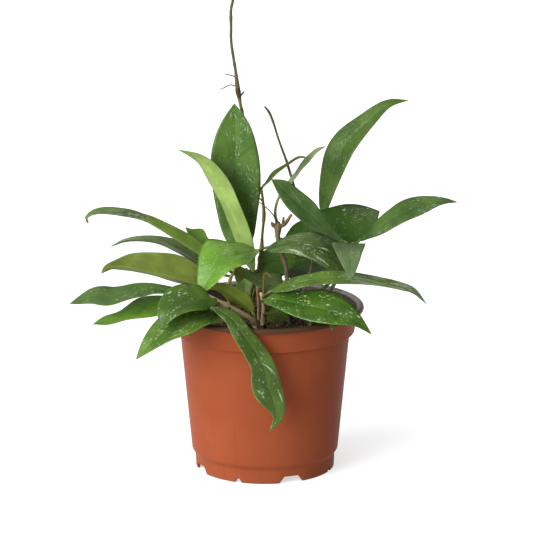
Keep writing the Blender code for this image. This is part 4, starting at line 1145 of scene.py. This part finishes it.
def tube_rings(curve, radii_at, seed, lumps, swell):
    """Sections of a rough tube along the curve, with places and shares."""
    total = distances(curve)[-1]
    where = np.linspace(0, total, max(4, int(total / STEM_STEP) + 1))
    turn = np.arange(STEM_SIDES) * math.tau / STEM_SIDES
    rings = []
    place = []
    for s, p, a, b in zip(where, points_at(curve, where), *moving_frame(curve, where)):
        base = float(radii_at(s))
        if swell:
            base = base * node_swelling(s, total, seed)
        radius = rough_radius(base, s, turn, seed, lumps)
        off = (radius * np.cos(turn))[:, None] * a
        rings.append(p + off + (radius * np.sin(turn))[:, None] * b)
        wide = base * PLACE_WIDTH
        place.append([(wide * math.cos(k), s, wide * math.sin(k) + seed * STEM_OFFSET)
                      for k in turn])
    share = np.repeat((where / total)[:, None], STEM_SIDES, axis=1)
    return np.array(rings), np.array(place), share


def domed(rings):
    """The rings with two smaller ones before the first, which close the tube in a dome."""
    middle = rings[0].mean(axis=0)
    out = middle - rings[1].mean(axis=0)
    out = out / np.linalg.norm(out)
    spread = rings[0] - middle
    size = np.linalg.norm(spread, axis=1).mean()
    caps = [middle + out * size * 0.92 + spread * 0.3, middle + out * size * 0.6 + spread * 0.78]
    return np.concatenate([caps, rings])


def build_tube(points, radii, seed, lumps=STEM_LUMPS, swell=True):
    """Points, faces, places and shares of one rough tube with a domed tip."""
    curve = smooth_curve(points, STEM_CURVE_STEPS)
    marks = distances(curve)[::STEM_CURVE_STEPS]
    sections = tube_rings(curve, lambda s: np.interp(s, marks, radii), seed, lumps, swell)
    rings = domed(sections[0])
    place, share = (np.concatenate([part[:1], part[:1], part]) for part in sections[1:])
    faces = tube_faces(*rings.shape[:2])
    return rings.reshape(-1, 3), faces, place.reshape(-1, 3), share.reshape(-1)


def build_stem(name, seed):
    """One stem with its twigs in one mesh. A share's X is 0 on the stem and 1 on its twigs."""
    stem_points, radii = STEMS[name]
    x, y, _ = stem_points[-1]
    line = stem_points[:-1] + [(x, y, SOIL_EDGE - sink) for sink in STEM_SINKS]
    tubes = [build_tube(line, radii + radii[-1:], seed)]
    for i, (owner, twig, sizes) in enumerate(TWIGS):
        if owner == name:
            tubes.append(build_tube(twig[::-1], sizes[::-1], seed + i, TWIG_LUMPS, False))
    points, faces, places, shares = [], [], [], []
    for number, (tube_points, own_faces, place, share) in enumerate(tubes):
        add_body(points, faces, tube_points, own_faces)
        places += list(place)
        shares += [(min(1.0, number), s, 0.0) for s in share]
    stem = piece("fine_" + name, points, faces, [bark_material(name, *STEM_LOOKS[name])])
    set_attribute(stem, "place", places)
    set_attribute(stem, "share", shares)
    return stem


# Pot


def rounded(profile, corners):
    """The profile with corners cut back to short arcs; corners maps a point's number to a size."""
    out = []
    for i, point in enumerate(profile):
        p = np.array(point)
        if i not in corners:
            out.append(tuple(p))
            continue
        a = np.array(profile[i - 1]) - p
        b = np.array(profile[i + 1]) - p
        start = p + a / np.linalg.norm(a) * min(corners[i], 0.45 * np.linalg.norm(a))
        end = p + b / np.linalg.norm(b) * min(corners[i], 0.45 * np.linalg.norm(b))
        for t in (0.0, 0.33, 0.67, 1.0):
            out.append(tuple(start * (1 - t) ** 2 + 2 * p * t * (1 - t) + end * t * t))
    return out


def pot_profile():
    """The pot's section, from the middle of its floor up the inside and down the outside."""
    lip = [(LIP_RADIUS - LIP_HALF_WIDTH * (1 - math.cos(a)),
            LIP_TOP - LIP_HALF_HEIGHT * (1 - math.sin(a)))
           for a in np.radians([150, 125, 100, 75, 50, 25, 0, -25, -50, -75])]
    points = [
        (0.0, FLOOR_TOP), (DRAIN_CIRCLE - 12, FLOOR_TOP), (FOOT_RADIUS - 2.1, FLOOR_TOP),
        (BODY_FOOT_RADIUS - WALL, BODY_FOOT + 0.8), (BODY_TOP_RADIUS - WALL, COLLAR_FOOT + 0.8),
        (COLLAR_FOOT_RADIUS - 1.5, COLLAR_FOOT + 2.8), (COLLAR_TOP_RADIUS - 1.4, LIP_TOP - 4.2),
        *lip,
        (COLLAR_TOP_RADIUS + 0.3, LIP_TOP - 4.3), (COLLAR_TOP_RADIUS, LIP_TOP - 4.9),
        (COLLAR_FOOT_RADIUS, COLLAR_FOOT + 0.5), (COLLAR_FOOT_RADIUS - 0.5, COLLAR_FOOT),
        (BODY_TOP_RADIUS + 0.2, COLLAR_FOOT), (BODY_TOP_RADIUS - 0.05, COLLAR_FOOT - 0.6),
        (BODY_FOOT_RADIUS + 3.2, BODY_FOOT + 33.0), (BODY_FOOT_RADIUS, BODY_FOOT),
        (BODY_FOOT_RADIUS - 0.6, BODY_FOOT - 0.9), (FOOT_RADIUS + 0.4, FOOT_TOP + 0.5),
        (FOOT_RADIUS, FOOT_TOP)]
    last = len(points) - 1
    corners = {last - i: 0.5 for i in range(1, 9)}
    corners.update({2: 1.0, 3: 2.0, 4: 1.0, 5: 1.5})
    return rounded(points, corners)


def foot_profile():
    """The foot ring from its top outside, round below, to the floor's underside."""
    outer = [(0.5 * (1 - z / FOOT_TOP), z) for z in (9.0, 6.5, 4.0, 2.0, 0.6)]
    under = [(0.65, 0.15), (0.9, 0.0), (2.4, 0.0), (2.65, 0.2)]
    inner = [(2.7, 1.0), (2.5, 4.0), (2.4, FLOOR_UNDER)]
    ring = [(FOOT_RADIUS - inward, z) for inward, z in outer + under + inner]
    return ring + [(DRAIN_CIRCLE - 12, FLOOR_UNDER), (0.0, FLOOR_UNDER)]


def notch_height(turn):
    """How far the foot's lower edge is raised at the angle in degrees from +X."""
    high = 0.0
    for middle, mouth, top, height in NOTCHES:
        off = abs((turn - middle + 180) % 360 - 180)
        high = max(high, height * min(1.0, max(0.0, (mouth / 2 - off) / (mouth / 2 - top / 2))))
    return high


def pot_turns():
    """Angles round the pot in degrees, with extra ones at the notches' corners."""
    turns = set(np.round(np.arange(0, 360, POT_TURN_STEP), 3))
    for middle, mouth, top, _ in NOTCHES:
        for off in (mouth / 2, top / 2, mouth / 2 + 0.25, top / 2 - 0.25):
            turns.update({round((middle + k * off) % 360, 3) for k in (-1, 1)})
    return sorted(turns)


def build_pot():
    """The pot as one turned skin, notched at the foot, and inside up to the lip dusty and darkened
    with painted shade.
    """
    body = pot_profile()
    profile = body + foot_profile()
    turns = pot_turns()
    n = len(turns)
    least = 0.02
    points = []
    for k, (r, z) in enumerate(profile):
        limit = FOOT_TOP if k < len(body) + FOOT_OUTER_ROWS else FLOOR_UNDER
        for turn in turns:
            a = math.radians(turn)
            lift = 0.0 if k < len(body) else notch_height(turn) * (1 - min(1.0, z / limit))
            points.append((max(r, least) * math.cos(a), max(r, least) * math.sin(a), z + lift))
    faces = grid_faces(len(profile), n)
    dust_and_shade_row = body.index(max(body, key=lambda p: p[1])) + 1
    slots = [1] + [1 if face[0] // n < dust_and_shade_row else 0 for face in faces] + [0]
    faces = [tuple(range(n))] + faces + [tuple(range(len(points) - 1, len(points) - n - 1, -1))]
    pot = piece("fine_pot", points, faces, [pot_material(), dust_and_shade_material()], slots)
    cut_drains(pot)
    pot.data.set_sharp_from_angle(angle=math.radians(POT_SHARP))
    return pot


def cut_drains(pot):
    """Round drain holes through the floor."""
    n = DRAIN_SIDES
    around = [(k, (k + 1) % n, n + (k + 1) % n, n + k) for k in range(n)]
    rod = [tuple(range(n - 1, -1, -1)), tuple(range(n, 2 * n))] + around
    points = []
    faces = []
    for i in range(DRAINS):
        a = math.tau * (i + 0.5) / DRAINS
        middle = (DRAIN_CIRCLE * math.cos(a), DRAIN_CIRCLE * math.sin(a))
        ends = [level_ring(DRAIN_RADIUS, z, n, middle) for z in (FLOOR_UNDER - 2, FLOOR_TOP + 2)]
        add_body(points, faces, ends[0] + ends[1], rod)
    tool = piece("drain_tool", points, faces, [])
    cut = pot.modifiers.new("drains", "BOOLEAN")
    cut.operation = "DIFFERENCE"
    cut.solver = "EXACT"
    cut.object = tool
    bpy.context.view_layer.update()
    seen = pot.evaluated_get(bpy.context.evaluated_depsgraph_get())
    mesh = bpy.data.meshes.new_from_object(seen)
    pot.modifiers.clear()
    pot.data = mesh
    bpy.data.objects.remove(tool, do_unlink=True)


# Soil


def soil_height(x, y):
    """Height of the soil's surface at a place."""
    r = math.hypot(x, y)
    base = SOIL_MIDDLE + (SOIL_EDGE - SOIL_MIDDLE) * min(1.0, r / SOIL_FALL)
    lumps = noise.fractal(Vector((x * LUMP_SCALE, y * LUMP_SCALE, 3.7)), 0.8, 2.1, 5)
    return base - LUMP_SINK + LUMP_HEIGHT * lumps


def build_ground(mat):
    """The soil's crumbly surface and its side down to the pot's floor."""
    foot = FLOOR_TOP + 0.4
    points = [(0.0, 0.0, soil_height(0, 0))]
    for r in np.linspace(1.5, SOIL_RADIUS, SOIL_RINGS):
        points += [(x, y, soil_height(x, y)) for x, y, _ in level_ring(r, 0.0, SOIL_SIDES)]
    sides = ((65.0, 111.5), (BODY_FOOT_RADIUS - WALL - 0.4, BODY_FOOT + 1.2), (52.6, foot))
    for r, z in sides:
        points += level_ring(r, z, SOIL_SIDES)
    points.append((0.0, 0.0, foot))
    faces = ball_faces(SOIL_RINGS + len(sides), SOIL_SIDES)
    return piece("fine_soil", points, faces, [mat])


def chip(rng, size, flat, long):
    """Points and faces of one rough chip, a squeezed and dented block."""
    points = [(0.0, 0.0, -0.5 * long)]
    for i in range(CHIP_RINGS):
        z = (i + 0.5) / CHIP_RINGS - 0.5
        r = math.sqrt(max(0.05, 0.25 - z * z)) * rng.uniform(0.8, 1.15)
        for k in range(CHIP_SIDES):
            a = math.tau * (k + 0.5 * (i % 2)) / CHIP_SIDES
            w = r * rng.uniform(0.75, 1.2)
            points.append((w * math.cos(a), w * flat * math.sin(a), z * long))
    points.append((0.0, 0.0, 0.5 * long))
    return np.array(points) * size, flipped(ball_faces(CHIP_RINGS, CHIP_SIDES))


def turned(points, rng):
    """The points turned any way, mostly lying down."""
    yaw = rng.uniform(0, math.tau)
    roll = rng.uniform(0, math.tau)
    pitch = math.pi / 2 + rng.uniform(-0.5, 0.5)
    for angle, upright in ((roll, True), (pitch, False), (yaw, True)):
        c, s = math.cos(angle), math.sin(angle)
        about_z = [[c, -s, 0], [s, c, 0], [0, 0, 1]]
        about_x = [[1, 0, 0], [0, c, -s], [0, s, c]]
        points = points @ np.array(about_z if upright else about_x).T
    return points


def build_chips(materials):
    """Bark chips, crumbs and a few pale grains strewn over the soil, in one piece."""
    rng = random.Random(CHIP_SEED)
    points = []
    faces = []
    slots = []
    for _ in range(CHIPS):
        kind = rng.choices(range(len(CHIP_SHARES)), CHIP_SHARES)[0]
        size = [rng.uniform(*limits) for limits in CHIP_SIZES][kind]
        long = ([rng.uniform(*limits) for limits in CHIP_LENGTHS] + [1.0])[kind]
        block, block_faces = chip(rng, size, rng.uniform(0.35, 0.8), long)
        r = (SOIL_RADIUS - 0.55 * size * long) * math.sqrt(rng.random())
        a = rng.uniform(0, math.tau)
        x = r * math.cos(a)
        y = r * math.sin(a)
        spot = np.array((x, y, soil_height(x, y) + rng.uniform(-0.1, 0.28) * size))
        add_body(points, faces, turned(block, rng) + spot, block_faces)
        slots += [kind] * len(block_faces)
    chips = piece("soil_chips", points, faces, materials, slots)
    chips.data.set_sharp_from_angle(angle=math.radians(CHIP_SHARP))
    return chips


# Studio


def build_floor():
    """A plain pale floor, far wider than the view."""
    look = Look("floor_white", 0.8, 0.1)
    look.put(look.shader["Base Color"], (FLOOR_GREY, FLOOR_GREY, FLOOR_GREY, 1.0))
    look.put(look.shader["Emission Color"], (1.0, 1.0, 1.0, 1.0))
    look.put(look.shader["Emission Strength"], FLOOR_GLOW)
    mesh = bpy.data.meshes.new("floor")
    corners = [(x * FLOOR_HALF_SIDE, y * FLOOR_HALF_SIDE, FLOOR_HEIGHT)
               for x, y in ((-1, -1), (1, -1), (1, 1), (-1, 1))]
    mesh.from_pydata(corners, [], [(0, 1, 2, 3)])
    mesh.materials.append(look.mat)
    new_object("floor", mesh)


def build_light():
    """Soft light from all round, a wide key light from the left in front and a weaker second."""
    world = bpy.data.worlds.new("studio")
    world.use_nodes = True
    net = Nodes(world.node_tree)
    toward = tuple(facing(KEY_TURN, SKY_RISE))
    spot = net.add("ShaderNodeTexCoord")["Generated"]
    level = net.rise(net.apart("DOT_PRODUCT", {0: spot, 1: toward}), -0.4, 1.0, SKY_DIM, SKY_BRIGHT)
    background = net.tree.nodes["Background"].inputs
    net.put(background["Color"], (1.0, 1.0, 1.0, 1.0))
    net.put(background["Strength"], level)
    bpy.context.scene.world = world
    add_lamp("key", KEY_TURN, KEY_RISE, KEY_STRENGTH, KEY_WIDTH)
    add_lamp("fill", FILL_TURN, FILL_RISE, FILL_STRENGTH, FILL_WIDTH)


def add_lamp(name, turn, tilt, strength, width):
    """A far, wide lamp in a direction turned from the front toward the right and up."""
    sun = bpy.data.lights.new(name, "SUN")
    sun.energy = strength
    sun.angle = math.radians(width)
    lamp = new_object(name, sun)
    lamp.rotation_euler = Vector(facing(turn, tilt)).to_track_quat("Z", "Y").to_euler()


def build_camera():
    """The camera at the photograph's angle, distance and framing."""
    tilt = math.radians(CAMERA_TILT)
    lens = bpy.data.cameras.new("camera")
    lens.sensor_width = SENSOR
    lens.lens = SENSOR * CAMERA_DISTANCE / (IMAGE_SIDE * MM_PER_PIXEL)
    lens.clip_start = 0.1
    lens.clip_end = 200.0
    camera = new_object("camera", lens)
    back = Vector((0.0, -math.cos(tilt), math.sin(tilt)))
    camera.location = (Vector(CAMERA_TARGET) + CAMERA_DISTANCE * back) * MM
    camera.rotation_euler = (math.pi / 2 - tilt, 0.0, 0.0)
    bpy.context.scene.camera = camera


def build_plant():
    """Every leaf and stem."""
    for number, name in enumerate(LEAVES):
        hand_over(build_leaf(name, number), SLOTS[name], name)
    for number, name in enumerate(STEMS):
        hand_over(build_stem(name, number + 1), SLOTS[name], name)


def build_potting():
    """The pot and the soil in it."""
    hand_over(build_pot(), SLOTS["pot"], "pot")
    looks = {name: soil_material(name, *look) for name, look in SOIL_LOOKS.items()}
    hand_over(build_ground(looks["soil_earth"]), SLOTS["soil"], "soil")
    hand_over(build_chips(list(looks.values())), SLOTS["soil"])


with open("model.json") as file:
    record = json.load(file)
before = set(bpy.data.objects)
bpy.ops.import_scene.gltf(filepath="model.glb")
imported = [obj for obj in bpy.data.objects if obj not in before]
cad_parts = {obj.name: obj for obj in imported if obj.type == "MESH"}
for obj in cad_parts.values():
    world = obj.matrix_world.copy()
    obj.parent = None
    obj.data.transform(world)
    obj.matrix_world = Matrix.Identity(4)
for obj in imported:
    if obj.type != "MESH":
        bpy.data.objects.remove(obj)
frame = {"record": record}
SLOTS = {part["node"]: part["material_slot"] for part in frame["record"]["subparts"]}
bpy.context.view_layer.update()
build_camera()
build_light()
build_floor()
build_plant()
build_potting()
bpy.context.scene.view_settings.view_transform = "Standard"
bpy.context.view_layer.update()
